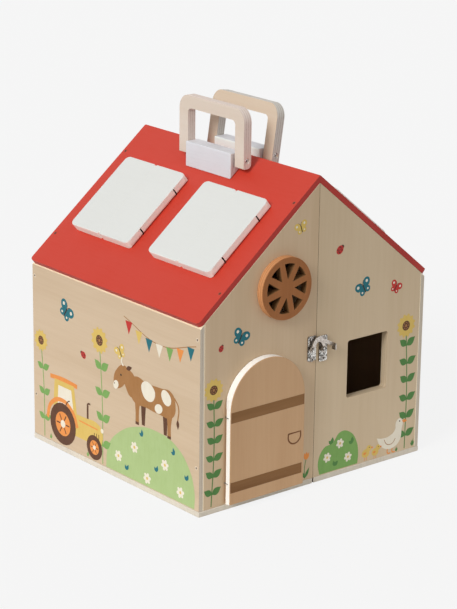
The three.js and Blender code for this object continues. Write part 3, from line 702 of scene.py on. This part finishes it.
def cow(page, centre):
    part = pen(page, centre)
    for reach in (-16, 21):
        part("umber", 2, [(reach - 3, -6, 1), (reach + 6, -6, 1), (reach + 4, -33, 1),
                          (reach - 1, -33, 1)])
    for reach in (-26, 28):
        part("bark", 3, [(reach - 4, -4, 1), (reach + 7, -6, 1), (reach + 4, -20), (reach + 4, -35, 1),
                         (reach - 2, -35, 1), (reach - 2, -20)])
        part("umber", 4, [(reach - 2, -32, 1), (reach + 4, -32, 1), (reach + 4, -35, 1),
                          (reach - 2, -35, 1)])
    part("bark", 3, [(-35, 10), (-29, 17), (-8, 15), (14, 16), (33, 16), (39, 6), (35, -10), (10, -13),
                     (-12, -12), (-29, -12), (-37, -3)])
    part("cream", 4, [(-16, 14), (2, 13), (5, 4), (-4, -4), (-16, 2)])
    part("cream", 4, [(17, 14), (29, 13), (31, 3), (21, 1)])
    part("cream", 4, [(6, -5), (17, -4), (15, -11), (6, -11)])
    part("bark", 4, [(-30, 17), (-24, 4), (-34, -8), (-47, 4), (-52, 14), (-44, 21)])
    part("bark", 5, [(-60, 17), (-47, 24), (-39, 17), (-45, 6), (-55, -3), (-63, -4), (-66, 3)])
    disc(page, "cream", 6, spot(-62, -1, centre), 5.2, 0.8, 60)
    disc(page, "umber", 7, spot(-64.5, 0, centre), 0.8)
    disc(page, "soot", 6, spot(-53, 12, centre), 1.3)
    leaf(page, "umber", 6, spot(-44, 21, centre), 22, 11, 5)
    part("cream", 6, [(-49, 23), (-52, 27), (-51, 32)], 1.8)
    part("bark", 2, [(37, 12), (44, 4), (43, -12)], 1.8)
    leaf(page, "umber", 3, spot(43, -10, centre), -88, 11, 4.4)


def duck(page, centre):
    part = pen(page, centre)
    for reach in (-3, 4):
        part("amber", 1, [(reach, -8), (reach, -15), (reach + 4, -15.5)], 1.4)
    part("cream", 2, [(-20, 6, 1), (-12, 4), (0, 5), (7, 10), (8, 18), (13, 22), (18, 18), (17, 9),
                      (15, -3), (6, -10), (-7, -9), (-16, -2)])
    leaf(page, "amber", 3, spot(17, 18, centre), -8, 8, 3.6)
    part("bark", 3, [(-9, 2), (-5, -4), (3, -5), (8, 0)], 0.8)
    disc(page, "soot", 3, spot(13.6, 18.6, centre), 0.9)


def chick(page, centre, size=1.0):
    part = pen(page, centre, size)
    for reach in (-1.5, 1.5):
        part("amber", 1, [(reach, -4), (reach, -8.4)], 0.7 * size)
    disc(page, "straw", 2, centre, 5.6 * size, 0.86)
    disc(page, "straw", 2, spot(4.6, 4.8, centre, 0, size), 3.7 * size)
    leaf(page, "amber", 3, spot(7.6, 5, centre, 0, size), -5, 3.6 * size, 2.2 * size)
    disc(page, "soot", 3, spot(5.4, 5.8, centre, 0, size), 0.6 * size)
    petal(page, "amber", 3, spot(1.5, 0.5, centre, 0, size), 190, 5 * size, 3 * size)


def bunting(page, points, inks, size):
    """Flags hung evenly on a line that sags from its start to its end."""
    inked(page, "bark", 0, points, 0.9)
    start, lowest, end = points
    for step, ink in enumerate(inks):
        share = (step + 0.5) / len(inks)
        sag = 4 * share * (1 - share)
        x = start[0] + share * (end[0] - start[0])
        y = start[1] + share * (end[1] - start[1]) + sag * (lowest[1] - (start[1] + end[1]) / 2)
        flag = [(-0.42, 0.03, 1), (0.42, 0.03, 1), (0, -1, 1)]
        inked(page, ink, 1, moved(flag, (x, y), 0, size))


def side_scene():
    page = []
    inked(page, "meadow", 0, [(134, 7, 1), (138, 32), (160, 55), (191, 69), (222, 73), (252, 68),
                              (275, 50), (285, 26), (285, 7, 1)])
    for x, y in ((156, 26), (184, 44), (206, 16), (236, 40), (262, 18)):
        daisy(page, (x, y), 6.4)
    for x, y, turn in ((170, 14, 60), (198, 60, 100), (222, 28, 75), (252, 56, 110), (272, 34, 70)):
        sprig(page, "teal", (x, y), turn, 52, (4, 3.4))
    cow(page, (214, 106))
    sunflower(page, (128, 8), (123, 146), 13, 4, "leaf")
    sunflower(page, (20, 8), (15, 118), 11, 3, "leaf")
    tractor(page, (55, 8))
    butterfly(page, "teal", (62, 162), 15, 55)
    butterfly(page, "straw", (160, 142), 11, 120)
    ladybird(page, (94, 122), 4.6, 150)
    flags = ("poppy", "straw", "teal", "cream", "leaf", "amber", "teal")
    bunting(page, [(166, 184), (226, 168), (286, 182)], flags, 14)
    for x in (32, 101, 112):
        tuft(page, (x, 8))
    return page


def left_gable_scene():
    page = []
    sunflower(page, (-139, 8), (-137, 134), 11, 6)
    butterfly(page, "teal", (-103, 182), 13, 62)
    butterfly(page, "straw", (-24, 284), 10, 108)
    ladybird(page, (-128, 176), 3.6, 60)
    tulip(page, (-11.5, 8), 22, "amber", 4.4)
    return page


def right_gable_scene():
    page = []
    inked(page, "leaf", 0, [(9, 7, 1), (7, 22), (15, 36), (27, 39), (38, 49), (52, 46), (62, 33),
                            (65, 18), (64, 7, 1)])
    for x, y in ((20, 24), (38, 36), (50, 18)):
        daisy(page, (x, y), 5.6)
    for x, y, turn in ((30, 12, 40), (56, 32, 95), (26, 38, 80)):
        sprig(page, "pine", (x, y), turn, 55, (4.4, 3.8))
    duck(page, (112, 23))
    chick(page, (76, 15.5))
    chick(page, (90, 14), 0.9)
    sunflower(page, (134, 8), (130, 150), 12, 6)
    tuft(page, (146, 8), 9, "pine")
    tuft(page, (122, 7), 6, "pine")
    butterfly(page, "teal", (66, 204), 13, 118)
    ladybird(page, (30, 252), 5.2, 40)
    butterfly(page, "poppy", (112, 196), 10, 60)
    return page


def back_scene(low):
    """The plain back has only a row of flowers along the bottom, between the hinge and the corner."""
    page = []
    sunflower(page, (low + 26, 8), (low + 23, 112), 11, 5)
    sunflower(page, (low + 52, 8), (low + 54, 86), 10, 4)
    for step, ink in enumerate(("poppy", "amber", "poppy")):
        tulip(page, (low + 78 + 15 * step, 8), 30 - 5 * step, ink, 5)
    butterfly(page, "teal", (low + 84, 96), 13, 70)
    return page


def print_on(name, page, body, origin, across, out):
    """All inks of one wall as one piece, with its scene upright and its reading direction across."""
    inks = list(dict.fromkeys(ink for ink, layer, mesh in page))
    bm = bmesh.new()
    for order, (ink, layer, mesh) in enumerate(page):
        lift = FILM + layer * FILM_LAYER + order % FILM_HAIRS * FILM_HAIR
        mesh.transform(Matrix.Translation((0, 0, lift)))
        if sum(polygon.normal.z for polygon in mesh.polygons) < 0:
            mesh.flip_normals()
        for polygon in mesh.polygons:
            polygon.material_index = inks.index(ink)
        bm.from_mesh(mesh)
        bpy.data.meshes.remove(mesh)
    turn = Matrix((across, (0, 0, 1), out)).transposed().to_4x4()
    upright = Matrix.Translation(origin) @ turn @ Matrix.Scale(MM, 4)
    bmesh.ops.transform(bm, matrix=upright, verts=bm.verts)
    finished(name, bm, body, [ink_films[ink] for ink in inks])


FRONT = (0, gable_front, 0), (1, 0, 0), (0, -1, 0)
BACK = (0, gable_back, 0), (-1, 0, 0), (0, 1, 0)
print_on("left_side_print", side_scene(), "left_half",
         (side_left, gable_back, 0), (0, -1, 0), (-1, 0, 0))
print_on("right_side_print", side_scene(), "right_half",
         (side_right, gable_front, 0), (0, 1, 0), (1, 0, 0))
print_on("left_gable_print", left_gable_scene(), "left_half", *FRONT)
print_on("right_gable_print", right_gable_scene(), "right_half", *FRONT)
print_on("left_back_print", back_scene(20), "left_half", *BACK)
print_on("right_back_print", back_scene(-152), "right_half", *BACK)

# Roof: each slope is one thin panel with two window openings, painted red on its face and
# a deeper red on its sawn edges, with small corners at the eaves. The two panels nearly meet
# at the ridge.
ROOF_RED = srgb(199, 63, 47)
ROOF_RED_SHADE = srgb(190, 58, 44)
ROOF_EDGE = srgb(182, 62, 54)
ROOF_EDGE_SHADE = srgb(150, 48, 44)
TOUCH = 0.02 * MM
RIDGE_CLOSE = 0.9
ROOF_BRUSHING = (1, 0.1, 1)
roof_top_paint = painted("roof_red", ROOF_RED, ROOF_RED_SHADE, 0.42, 0.15, ROOF_BRUSHING)
roof_edge_paint = painted("roof_edge_red", ROOF_EDGE, ROOF_EDGE_SHADE, 0.5, 0.6, ROOF_BRUSHING)
hinge_axes = {joint["name"]: joint for joint in frame["joints"]}
left_fore = hinge_axes["left_front_shutter_fore_hinge"]
PITCH = atan2(left_fore["axis"][2], left_fore["axis"][0])


def slope_normal(sign):
    return Vector((sign * sin(PITCH), 0, cos(PITCH)))


def slope_down(sign):
    return Vector((sign * cos(PITCH), 0, -sin(PITCH)))


def highest(node, direction):
    return max(vert.co.dot(direction) for vert in frame["nodes"][node].data.vertices)


def closed_ridge(vert):
    """Moves a panel's face at the ridge towards the other panel's."""
    return (-RIDGE_CLOSE * vert.co.x if abs(vert.co.x) < ridge_gap + TOUCH else 0, 0, 0)


ridge_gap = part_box("right_roof_panel")[0].x
for side, sign in SIDES:
    out = slope_normal(sign)
    board(f"{side}_roof_panel", f"{side}_roof", f"{side}_half",
          [roof_top_paint, roof_edge_paint], 0.6 * MM, nudge=closed_ridge,
          face=lambda polygon: 0 if polygon.normal.dot(out) > FACING else 1,
          eased=lambda edge: edge.calc_length() > LONG_EDGE)

# Roof windows: each is a pair of white shutters, hung at their outer long edges on thin
# plates that stand in dark slots. Faces and edges are rolled in soft white over plywood, and the
# narrow edges are painted a lighter white than the faces, as painted light.
SHUTTER_WHITE = srgb(220, 221, 217)
SHUTTER_SHADE = srgb(210, 210, 205)
SLOT_REACH = 1.3 * MM
SEAM_CLOSE = 0.4
WHITE_ROLLING = (1, 0.12, 1)
FINE_DIMPLE = 0.05 * MM
shutter_paint = painted("shutter_white", SHUTTER_WHITE, SHUTTER_SHADE, 0.5, 0.2, WHITE_ROLLING)
# The narrow edges: a lighter white than the faces, painted light against the roof's red bounce and the
# shade.
shutter_side_lit = painted("shutter_side_lit", srgb(254, 252, 243), srgb(244, 240, 230), 0.5, 0.4, WHITE_ROLLING)
slot_shade = painted("slot_shade", srgb(30, 24, 22), srgb(46, 38, 34), 0.7, 0.8)


def plated(name, dark, pale, roughness, grain, bump):
    """Plated metal whose colour goes in clouds between a dark and a pale tone, as painted reflections,
    with a grain size and a depth of its dimples.
    """
    material, tree, shader = new_material(name, roughness, 1.0)
    cloud = noise(tree, own_place(tree), grain, detail=3)
    fed(tree, shader, {
        "Base Color": blended(tree, ranged(tree, cloud, 0.34, 0.66), dark, pale),
        "Roughness": ranged(tree, cloud, 0.3, 0.7, roughness - 0.06, roughness + 0.14),
    })
    bumped(tree, shader, cloud, bump, strength=0.5)
    return material


def coated(node, material):
    """Gives a node that is shown as it is a material of its own."""
    materials = frame["nodes"][node].data.materials
    materials.clear()
    materials.append(material)


zinc = plated("zinc_plate", srgb(120, 118, 114), srgb(176, 174, 170), 0.4, 900, FINE_DIMPLE)


def dressed_shutter(node, out, down, inner, outer, shift):
    """One shutter: its seam moved in a little, its slots dark, and its upper edges rounded."""
    top = highest(node, out)
    plates = [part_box(f"{node}_pivot_{count}") for count in (1, 2)]
    places = [((low + high) / 2).dot(down) for low, high in plates]

    def near_slot(point):
        return min(abs(point.dot(down) - place) for place in places) < SLOT_REACH

    def face(polygon):
        upper = polygon.normal.dot(out) > FACING
        return 0 if upper else 2 if near_slot(polygon.calc_center_median()) else 1

    def slot_walls(polygon):
        upper = polygon.normal.dot(out) >= TILTED
        return 2 if near_slot(polygon.calc_center_median()) and not upper else None

    def outline(edge):
        on_top = all(vert.co.dot(out) > top - TOUCH for vert in edge.verts)
        return on_top and not all(abs(vert.co.y - inner - shift) < TOUCH for vert in edge.verts)

    def slits(edge):
        on_side = all(abs(vert.co.y - outer) < TOUCH and near_slot(vert.co) for vert in edge.verts)
        return on_side and abs((edge.verts[0].co - edge.verts[1].co).normalized().dot(out)) > FACING

    board(node, f"{node}_leaf", node, [shutter_paint, shutter_side_lit, slot_shade], 0.7 * MM,
          turns=3, face=face, eased=outline, slits=slits, strip=slot_walls,
          nudge=lambda vert: (0, shift if abs(vert.co.y - inner) < TOUCH else 0, 0))


for side, sign in SIDES:
    out, down = slope_normal(sign), slope_down(sign)
    for pair in ("front", "rear"):
        fore, aft = f"{side}_{pair}_shutter_fore", f"{side}_{pair}_shutter_aft"
        fore_outer, fore_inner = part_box(fore)[0].y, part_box(fore)[1].y
        aft_inner, aft_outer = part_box(aft)[0].y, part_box(aft)[1].y
        shift = SEAM_CLOSE * (aft_inner - fore_inner)
        dressed_shutter(fore, out, down, fore_inner, fore_outer, shift)
        dressed_shutter(aft, out, down, aft_inner, aft_outer, -shift)
for node in frame["nodes"]:
    if "pivot" in node:
        coated(node, slot_shade if "shutter" in node else zinc)

# Handle blocks: two white painted hardwood blocks beside the ridge, level on top, cut to the
# slope below and glued and screwed to the roof. The handles' screws run into their ends.
BLOCK_WHITE = srgb(222, 222, 226)
BLOCK_SHADE = srgb(210, 208, 212)
block_paint = painted("block_white", BLOCK_WHITE, BLOCK_SHADE, 0.45, 0.5, WHITE_ROLLING)
# The ends are painted darker as painted shade, and the side towards the ridge lighter and cooler as
# painted light.
block_end_shaded = painted("block_end_shaded", srgb(214, 205, 202), srgb(202, 192, 188), 0.5, 0.6, WHITE_ROLLING)
block_ridge_side_lit = painted("block_ridge_side_lit", srgb(237, 247, 242), srgb(229, 239, 233), 0.45, 0.5, WHITE_ROLLING)
PIVOTS = {side: Vector(hinge_axes[f"{side}_handle_pivot"]["pos_m"]) for side, sign in SIDES}
BORE_REACH = 4.2 * MM


def off_pivot(side):
    """Picks the edges that aren't part of a screw bore on the handle's pivot line."""
    centre = PIVOTS[side]
    return lambda edge: any(hypot(v.co.x - centre.x, v.co.z - centre.z) > BORE_REACH for v in edge.verts)


def block_faces(sign):
    """Numbers a block's ends 1, painted darker as painted shade, its side towards the ridge 2, painted
    lighter as painted light, and its other faces 0.
    """
    def face(polygon):
        return 1 if abs(polygon.normal.y) > FACING else 2 if polygon.normal.x * sign < -FACING else 0
    return face


for side, sign in SIDES:
    board(f"{side}_handle_block", f"{side}_block", f"{side}_half",
          [block_paint, block_end_shaded, block_ridge_side_lit], 1.3 * MM, turns=4, eased=off_pivot(side),
          face=block_faces(sign))

# Handles: laminated plywood bows with routed, rounded edges. The broad faces are pale birch,
# and the layers run as fine lines round the narrow sides. They straddle the blocks.
# The right handle's face and layers are painted darker and more orange than the left's, as painted shade
# from the left handle.
HANDLE_PALE = {"left": srgb(225, 211, 198), "right": srgb(219, 202, 182)}
HANDLE_DARK = {"left": srgb(215, 198, 179), "right": srgb(208, 182, 150)}
LAYERS_PALE = {"left": srgb(232, 217, 207), "right": srgb(213, 208, 200)}
LAYERS_DARK = {"left": srgb(211, 192, 180), "right": srgb(193, 184, 174)}
HANDLE_LAYER = 1.4 * MM
LEANS = {"left": 0, "right": radians(8.5)}
for side, sign in SIDES:
    across = (cos(LEANS[side]), 0, -sin(LEANS[side]))
    begin = Vector(across).dot(PIVOTS[side])
    face_wood = veneered(f"{side}_handle_face", HANDLE_PALE[side], HANDLE_DARK[side], "deep", 0.7, 0.45)
    edge_wood = sawn_edge(f"{side}_handle_layers", LAYERS_PALE[side], LAYERS_DARK[side], across, begin,
                          HANDLE_LAYER)
    board(f"{side}_handle", f"{side}_bow", f"{side}_handle", [face_wood, edge_wood],
          1.2 * MM, turns=4, eased=off_pivot(side),
          face=lambda polygon: 0 if abs(polygon.normal.dot(Vector(across))) > FACING else 1)

# Cross-head screws: steel ones in the handles, the latch and the hinges, and dull ones driven
# into the roof and the walls, where each has a flat ring round its head: a pale one on the walls,
# a painted highlight on the countersink's chamfer, and a browner red one on the roof. Their cross
# recesses take the ring's colour, and the other screws' recesses are painted dark as painted shade.
SCREW_TURN = radians(27)
ROUND_FROM, ARM_SHARE, CROSS_REACH, SKIRT_SHARE = 0.5, 0.16, 0.66, 0.7
RIM_SIDES, RIM_START = 20, 0.96
ROOF_SCREW_SHARES = (0.197, 0.805)
WALL_SCREW_SHARES = (0.256, 0.917)
SCREW_RADIUS = 1.2 * MM
SCREW_CROWN = 0.2 * MM
SCREW_RECESS = 0.4 * MM
SCREW_LIFT = 0.04 * MM
RIM_WIDTH = 0.9 * MM
CROWN_SHARE, RECESS_SHARE = 0.24, 0.2
LATCH_SCREWS = {"left": (1, 2), "right": (3, 4)}
screw_steel = plated("screw_steel", srgb(96, 92, 90), srgb(160, 156, 152), 0.32, 2200, FINE_DIMPLE)
screw_bright = plated("screw_bright", srgb(222, 220, 218), srgb(246, 245, 244), 0.48, 2200, FINE_DIMPLE)
screw_dim = plated("screw_dim", srgb(120, 112, 106), srgb(196, 190, 184), 0.36, 1400, FINE_DIMPLE)
screw_sunk = plated("screw_sunk", srgb(44, 36, 32), srgb(92, 82, 74), 0.4, 1800, FINE_DIMPLE)
# Painted highlight: the pale rims of the wall screws' countersinks.
rim_wood_highlight = painted("rim_wood_highlight", srgb(240, 222, 200), srgb(224, 202, 176), 0.6, 0.8)
rim_red = painted("rim_red", srgb(172, 78, 60), srgb(146, 58, 46), 0.5, 0.8)
# Painted shade: the dark colour of the screws' cross recesses.
recess_shade = painted("recess_shade", srgb(40, 34, 30), srgb(66, 56, 48), 0.7, 0.8)


def facing(direction):
    return Vector(direction).to_track_quat("Z", "Y").to_matrix().to_4x4()


def made(result, kind):
    """The vertices or the faces that an operator has made."""
    return [item for item in result["geom"] if isinstance(item, kind)]


def cross_head(bm, radius, height, recess, cells):
    """A round head with a cross recess in the second material, its rim at z = 0 and its crown at the
    height.
    """
    bmesh.ops.create_grid(bm, x_segments=cells, y_segments=cells, size=radius)
    for vert in bm.verts:
        ring = max(abs(vert.co.x), abs(vert.co.y))
        flat = Vector((vert.co.x, vert.co.y, 0))
        if ring > ROUND_FROM * radius:
            flat = flat.normalized() * ring
        vert.co = flat + Vector((0, 0, height * (1 - (flat.length / radius) ** 2)))
    cross = []
    for polygon in bm.faces:
        centre = polygon.calc_center_median()
        on_arm = min(abs(centre.x), abs(centre.y)) < ARM_SHARE * radius
        if on_arm and centre.xy.length < CROSS_REACH * radius:
            cross.append(polygon)
    sunk = bmesh.ops.extrude_face_region(bm, geom=cross)
    bmesh.ops.delete(bm, geom=cross, context="FACES_ONLY")
    bmesh.ops.translate(bm, verts=made(sunk, bmesh.types.BMVert), vec=(0, 0, -recess))
    for polygon in made(sunk, bmesh.types.BMFace):
        polygon.material_index = 1
    skirt = bmesh.ops.extrude_edge_only(bm, edges=[edge for edge in bm.edges if edge.is_boundary])
    low = made(skirt, bmesh.types.BMVert)
    bmesh.ops.scale(bm, verts=low, vec=(SKIRT_SHARE, SKIRT_SHARE, 1))
    bmesh.ops.translate(bm, verts=low, vec=(0, 0, -2 * recess))
    bmesh.ops.holes_fill(bm, edges=[edge for edge in bm.edges if edge.is_boundary])
    bmesh.ops.recalc_face_normals(bm, faces=bm.faces)


def countersink_ring(bm, radius, width):
    """The rim of a countersunk hole: a flat ring round the head in the second material, which on the
    walls is a pale painted highlight.
    """
    head_edges = len(bm.edges)
    bmesh.ops.create_circle(bm, segments=RIM_SIDES, radius=radius)
    spread = bmesh.ops.extrude_edge_only(bm, edges=bm.edges[head_edges:])
    share = (radius + width) / radius
    bmesh.ops.scale(bm, verts=made(spread, bmesh.types.BMVert), vec=(share, share, 1))
    band = made(spread, bmesh.types.BMFace)
    for polygon in band:
        polygon.material_index = 1
        polygon.normal_update()
    bmesh.ops.reverse_faces(bm, faces=[polygon for polygon in band if polygon.normal.z < 0])


# shade colours the cross recesses and the rings: painted shade in the recesses by default, and on the
# wall screws the pale rim colour, a painted highlight, in both.
def screw_heads(name, body, places, radius, height, recess, rim=0.0, metal=screw_steel,
                shade=recess_shade, replaced=(), cells=7):
    """Several like screws as one piece: each place is a point on the surface and its normal."""
    bm = bmesh.new()
    for place, normal in places:
        one = bmesh.new()
        cross_head(one, radius, height, recess, cells)
        if rim:
            countersink_ring(one, RIM_START * radius, rim)
        turn = Matrix.Rotation(SCREW_TURN, 3, "Z")
        bmesh.ops.rotate(one, verts=one.verts, cent=(0, 0, 0), matrix=turn)
        bmesh.ops.transform(one, matrix=Matrix.Translation(place) @ facing(normal), verts=one.verts)
        loose = bpy.data.meshes.new("loose_head")
        one.to_mesh(loose)
        one.free()
        bm.from_mesh(loose)
        bpy.data.meshes.remove(loose)
    finished(name, bm, body, [metal, shade], replaced)


half_gable = (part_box("left_front_gable")[1].y - gable_front) / 2
ends = (gable_front + half_gable, gable_back - half_gable)
roof_length = abs(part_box("left_roof_panel")[0].x) / cos(PITCH)
wall_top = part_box("left_side_wall")[1].z
for side, sign in SIDES:
    out, down = slope_normal(sign), slope_down(sign)
    plane = highest(f"{side}_roof_panel", out) + SCREW_LIFT
    ridge_start = Vector((0, 0, plane / cos(PITCH))).dot(down)
    roof_places = [
        (out * plane + down * (ridge_start + share * roof_length) + Vector((0, end, 0)), out)
        for end in ends for share in ROOF_SCREW_SHARES
    ]
    wall_x = side_left if sign < 0 else side_right
    wall_places = [
        (Vector((wall_x + sign * SCREW_LIFT, end, share * wall_top)), (sign, 0, 0))
        for end in ends for share in WALL_SCREW_SHARES
    ]
    for part, places, rim in (("roof", roof_places, rim_red), ("wall", wall_places, rim_wood_highlight)):
        screw_heads(f"{side}_{part}_screws", f"{side}_half", places, SCREW_RADIUS, SCREW_CROWN,
                    SCREW_RECESS, RIM_WIDTH, screw_sunk, rim)
for side, counts in LATCH_SCREWS.items():
    seen = [f"{side}_handle_screw_{end}" for end in ("front", "rear")]
    for node in seen + [f"latch_screw_{count}" for count in counts]:
        low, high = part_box(node)
        radius = (high.x - low.x) / 2
        crown = CROWN_SHARE * radius
        rear = node.endswith("rear")
        place = (low + high) / 2
        place.y = high.y - crown if rear else low.y + crown
        metal, cells = (screw_bright, 7) if "handle" in node else (screw_dim, 5)
        screw_heads(f"{node}_head", f"{side}_half", [(place, (0, 1 if rear else -1, 0))], radius, crown,
                    RECESS_SHARE * radius, metal=metal, replaced=(node,), cells=cells)

# Door: an arched plywood leaf in front of the gable, its face clear coated with the grain
# upright and its sawn edge painted white. Two brown bands and a small ring are printed on it.
DOOR_PALE = srgb(205, 167, 128)
DOOR_DARK = srgb(194, 154, 115)
DOOR_EDGE = srgb(253, 250, 244)
DOOR_EDGE_SHADE = srgb(246, 241, 232)
DOOR_INSET = 0.08 * MM
BAND_BROWN = srgb(144, 104, 64)
BAND_GRAIN = srgb(120, 82, 46)
BANDS = ((21, 32.5, 2.2), (97, 108.5, 0.4))
BAND_MARGINS = (0.8, 0.6)
BAND_LINE = 0.5
BAND_LINE_INSET = 0.4
RING_LINE = 1.7
FLAT_FACING = 0.95
door_veneer = veneered("door_veneer", DOOR_PALE, DOOR_DARK, "up", 0.8, 0.48)
door_edge = painted("door_edge_white", DOOR_EDGE, DOOR_EDGE_SHADE)
door_low, door_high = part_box("front_door")
board("front_door", "door_leaf", "door", [door_veneer, door_edge], 0.7 * MM, turns=3,
      face=lambda polygon: 0 if abs(polygon.normal.y) > FACING else 1,
      eased=lambda edge: all(v.co.y < door_low.y + DOOR_INSET + TOUCH for v in edge.verts),
      strip=lambda polygon: 0 if TILTED < abs(polygon.normal.y) < FLAT_FACING else None,
      nudge=lambda vert: (0, DOOR_INSET if vert.co.y < door_low.y + TOUCH else 0, 0))

ink_films["band"] = veneered("band_print", BAND_BROWN, BAND_GRAIN, "wide", 0.9, 0.5)
ink_films["ring"] = painted("ring_print", srgb(118, 76, 44), srgb(100, 62, 34), 0.5, 0.6, mottle=60)
door_page = []
door_left, door_right = door_low.x / MM, door_high.x / MM
for low, high, right_inset in BANDS:
    near, far = door_left + BAND_MARGINS[0], door_right - right_inset - BAND_MARGINS[1]
    inked(door_page, "band", 0, [(near, low, 1), (near, high, 1), (far, high, 1), (far, low, 1)])
    for end in (near + BAND_LINE_INSET, far - BAND_LINE_INSET):
        inked(door_page, "umber", 1, [(end, low, 1), (end, high, 1)], BAND_LINE)
ring = [(-44, 68, 1), (-43.2, 60.5), (-35.5, 56), (-27.8, 60.5), (-27, 68, 1), (-44, 68, 1)]
inked(door_page, "ring", 0, ring, RING_LINE)
print_on("door_print", door_page, "door", (0, door_low.y + DOOR_INSET, 0), (1, 0, 0), (0, -1, 0))

# Wheel window: a round plywood plate with eight holes between straight spokes, stained
# orange brown. Its sawn edge is painted paler as a painted highlight, and the walls of the cut holes
# are painted darker as painted shade.
WHEEL_PALE = srgb(162, 104, 60)
WHEEL_DARK = srgb(144, 90, 48)
WHEEL_EDGE_PALE = srgb(208, 150, 102)
WHEEL_EDGE_DARK = srgb(186, 126, 80)
WHEEL_LAYER = 1.35 * MM
RIM_SHARE = 0.97
wheel_face = veneered("wheel_stain", WHEEL_PALE, WHEEL_DARK, "up", 0.8, 0.5)
wheel_low, wheel_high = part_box("wheel_window")
wheel_front = wheel_low.y
wheel_centre = (wheel_low + wheel_high) / 2
wheel_radius = (wheel_high.x - wheel_low.x) / 2
wheel_edge = sawn_edge("wheel_layers", WHEEL_EDGE_PALE, WHEEL_EDGE_DARK, (0, 1, 0), wheel_front,
                       WHEEL_LAYER)
# Painted shade: the walls of the cut holes are darker than the stain.
wheel_hole_shade = painted("wheel_hole_walls_shaded", srgb(128, 92, 56), srgb(96, 66, 38), 0.6, 0.8)


def wheel_faces(polygon):
    """The flat faces are stained, the outer edge shows its layers in paler tones as a painted highlight,
    and the hole walls are painted darker as painted shade.
    """
    if abs(polygon.normal.y) > FACING:
        return 0
    middle = polygon.calc_center_median() - wheel_centre
    return 1 if hypot(middle.x, middle.z) > RIM_SHARE * wheel_radius else 2


board("wheel_window", "wheel_plate", "left_half", [wheel_face, wheel_edge, wheel_hole_shade],
      0.5 * MM, turns=3, face=wheel_faces,
      eased=lambda edge: all(v.co.y < wheel_front + TOUCH for v in edge.verts))

# Latch: stamped and nickel plated. The plates go in strong dark and pale clouds as painted
# reflections, and their cut edges are painted dark as painted shade. The keeper plate with its peg
# is on the left half, the hook plate with its rivet on the right half, and the hook turns on it.
# The hook is painted in a paler, calmer copy of the nickel than the plates, as painted light.
KEEPER_TRIM = 2.1 * MM
PLATE_CORNER = 1.5 * MM
BROAD_FACING = 0.7
LEVER_AREA = (0.000006, 0.00002)
STAMPED_EDGE = 0.6 * MM
# The plates' dark and pale clouds are painted reflections, the hook's paler copy is painted light, and
# the cut edges are painted dark as painted shade.
nickel = plated("nickel_plate_glints", srgb(40, 34, 28), srgb(240, 237, 232), 0.22, 470, 0.3 * MM)
nickel_hook_lit = plated("nickel_hook_lit", srgb(172, 162, 153), srgb(218, 210, 202), 0.3, 900, 0.1 * MM)
nickel_edge_shade = plated("nickel_cut_edge_shade", srgb(90, 78, 64), srgb(160, 149, 134), 0.4, 1200, 0.1 * MM)
LATCH_BODIES = {
    "latch_keeper_plate": "left_half",
    "latch_hook_plate": "right_half",
    "latch_hook": "latch_hook",
}


def stamped(polygon):
    """Numbers the broad faces, those of the bent lever too, 0, and the narrow cut ones 1."""
    on_lever = LEVER_AREA[0] < polygon.calc_area() < LEVER_AREA[1]
    return 0 if abs(polygon.normal.y) > BROAD_FACING or on_lever else 1


keeper_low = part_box("latch_keeper_plate")[0].z + PLATE_CORNER
for node, body in LATCH_BODIES.items():
    flat_metal = nickel_hook_lit if node == "latch_hook" else nickel
    trim = KEEPER_TRIM if node == "latch_keeper_plate" else 0
    board(node, f"{node}_stamping", body, [flat_metal, nickel_edge_shade], 0.25 * MM, turns=3,
          face=stamped, eased=lambda edge: edge.calc_length() > STAMPED_EDGE,
          nudge=lambda vert: (0, 0, trim if vert.co.z < keeper_low else 0))

# Back hinges: two small butt hinges, plated a calm grey, with a zinc pin in their knuckles,
# screwed to the back gables with two screws in each leaf.
HINGE_SCREW_SHARES = (0.22, 0.78)
HINGE_SCREW_INSET = 6 * MM
HINGE_SCREW_RADIUS = 1.9 * MM
HINGE_SCREW_CROWN = 0.3 * MM
LEAF_FRONT = 1.25 * MM
hinge_plate = plated("hinge_plate", srgb(150, 144, 136), srgb(206, 200, 192), 0.34, 300, FINE_DIMPLE)
for level in ("lower", "upper"):
    for side in ("left", "right"):
        node = f"{level}_hinge_{side}_leaf"
        low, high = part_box(node)
        board(node, f"{node}_stamping", f"{side}_half", [hinge_plate], 0.2 * MM)
        middle = high.x - HINGE_SCREW_INSET if side == "right" else low.x + HINGE_SCREW_INSET
        places = [
            (Vector((middle, gable_back + LEAF_FRONT, low.z + share * (high.z - low.z))), (0, 1, 0))
            for share in HINGE_SCREW_SHARES
        ]
        screw_heads(f"{node}_screws", f"{side}_half", places, HINGE_SCREW_RADIUS, HINGE_SCREW_CROWN,
                    SCREW_RECESS)
    coated(f"{level}_hinge_pin", zinc)
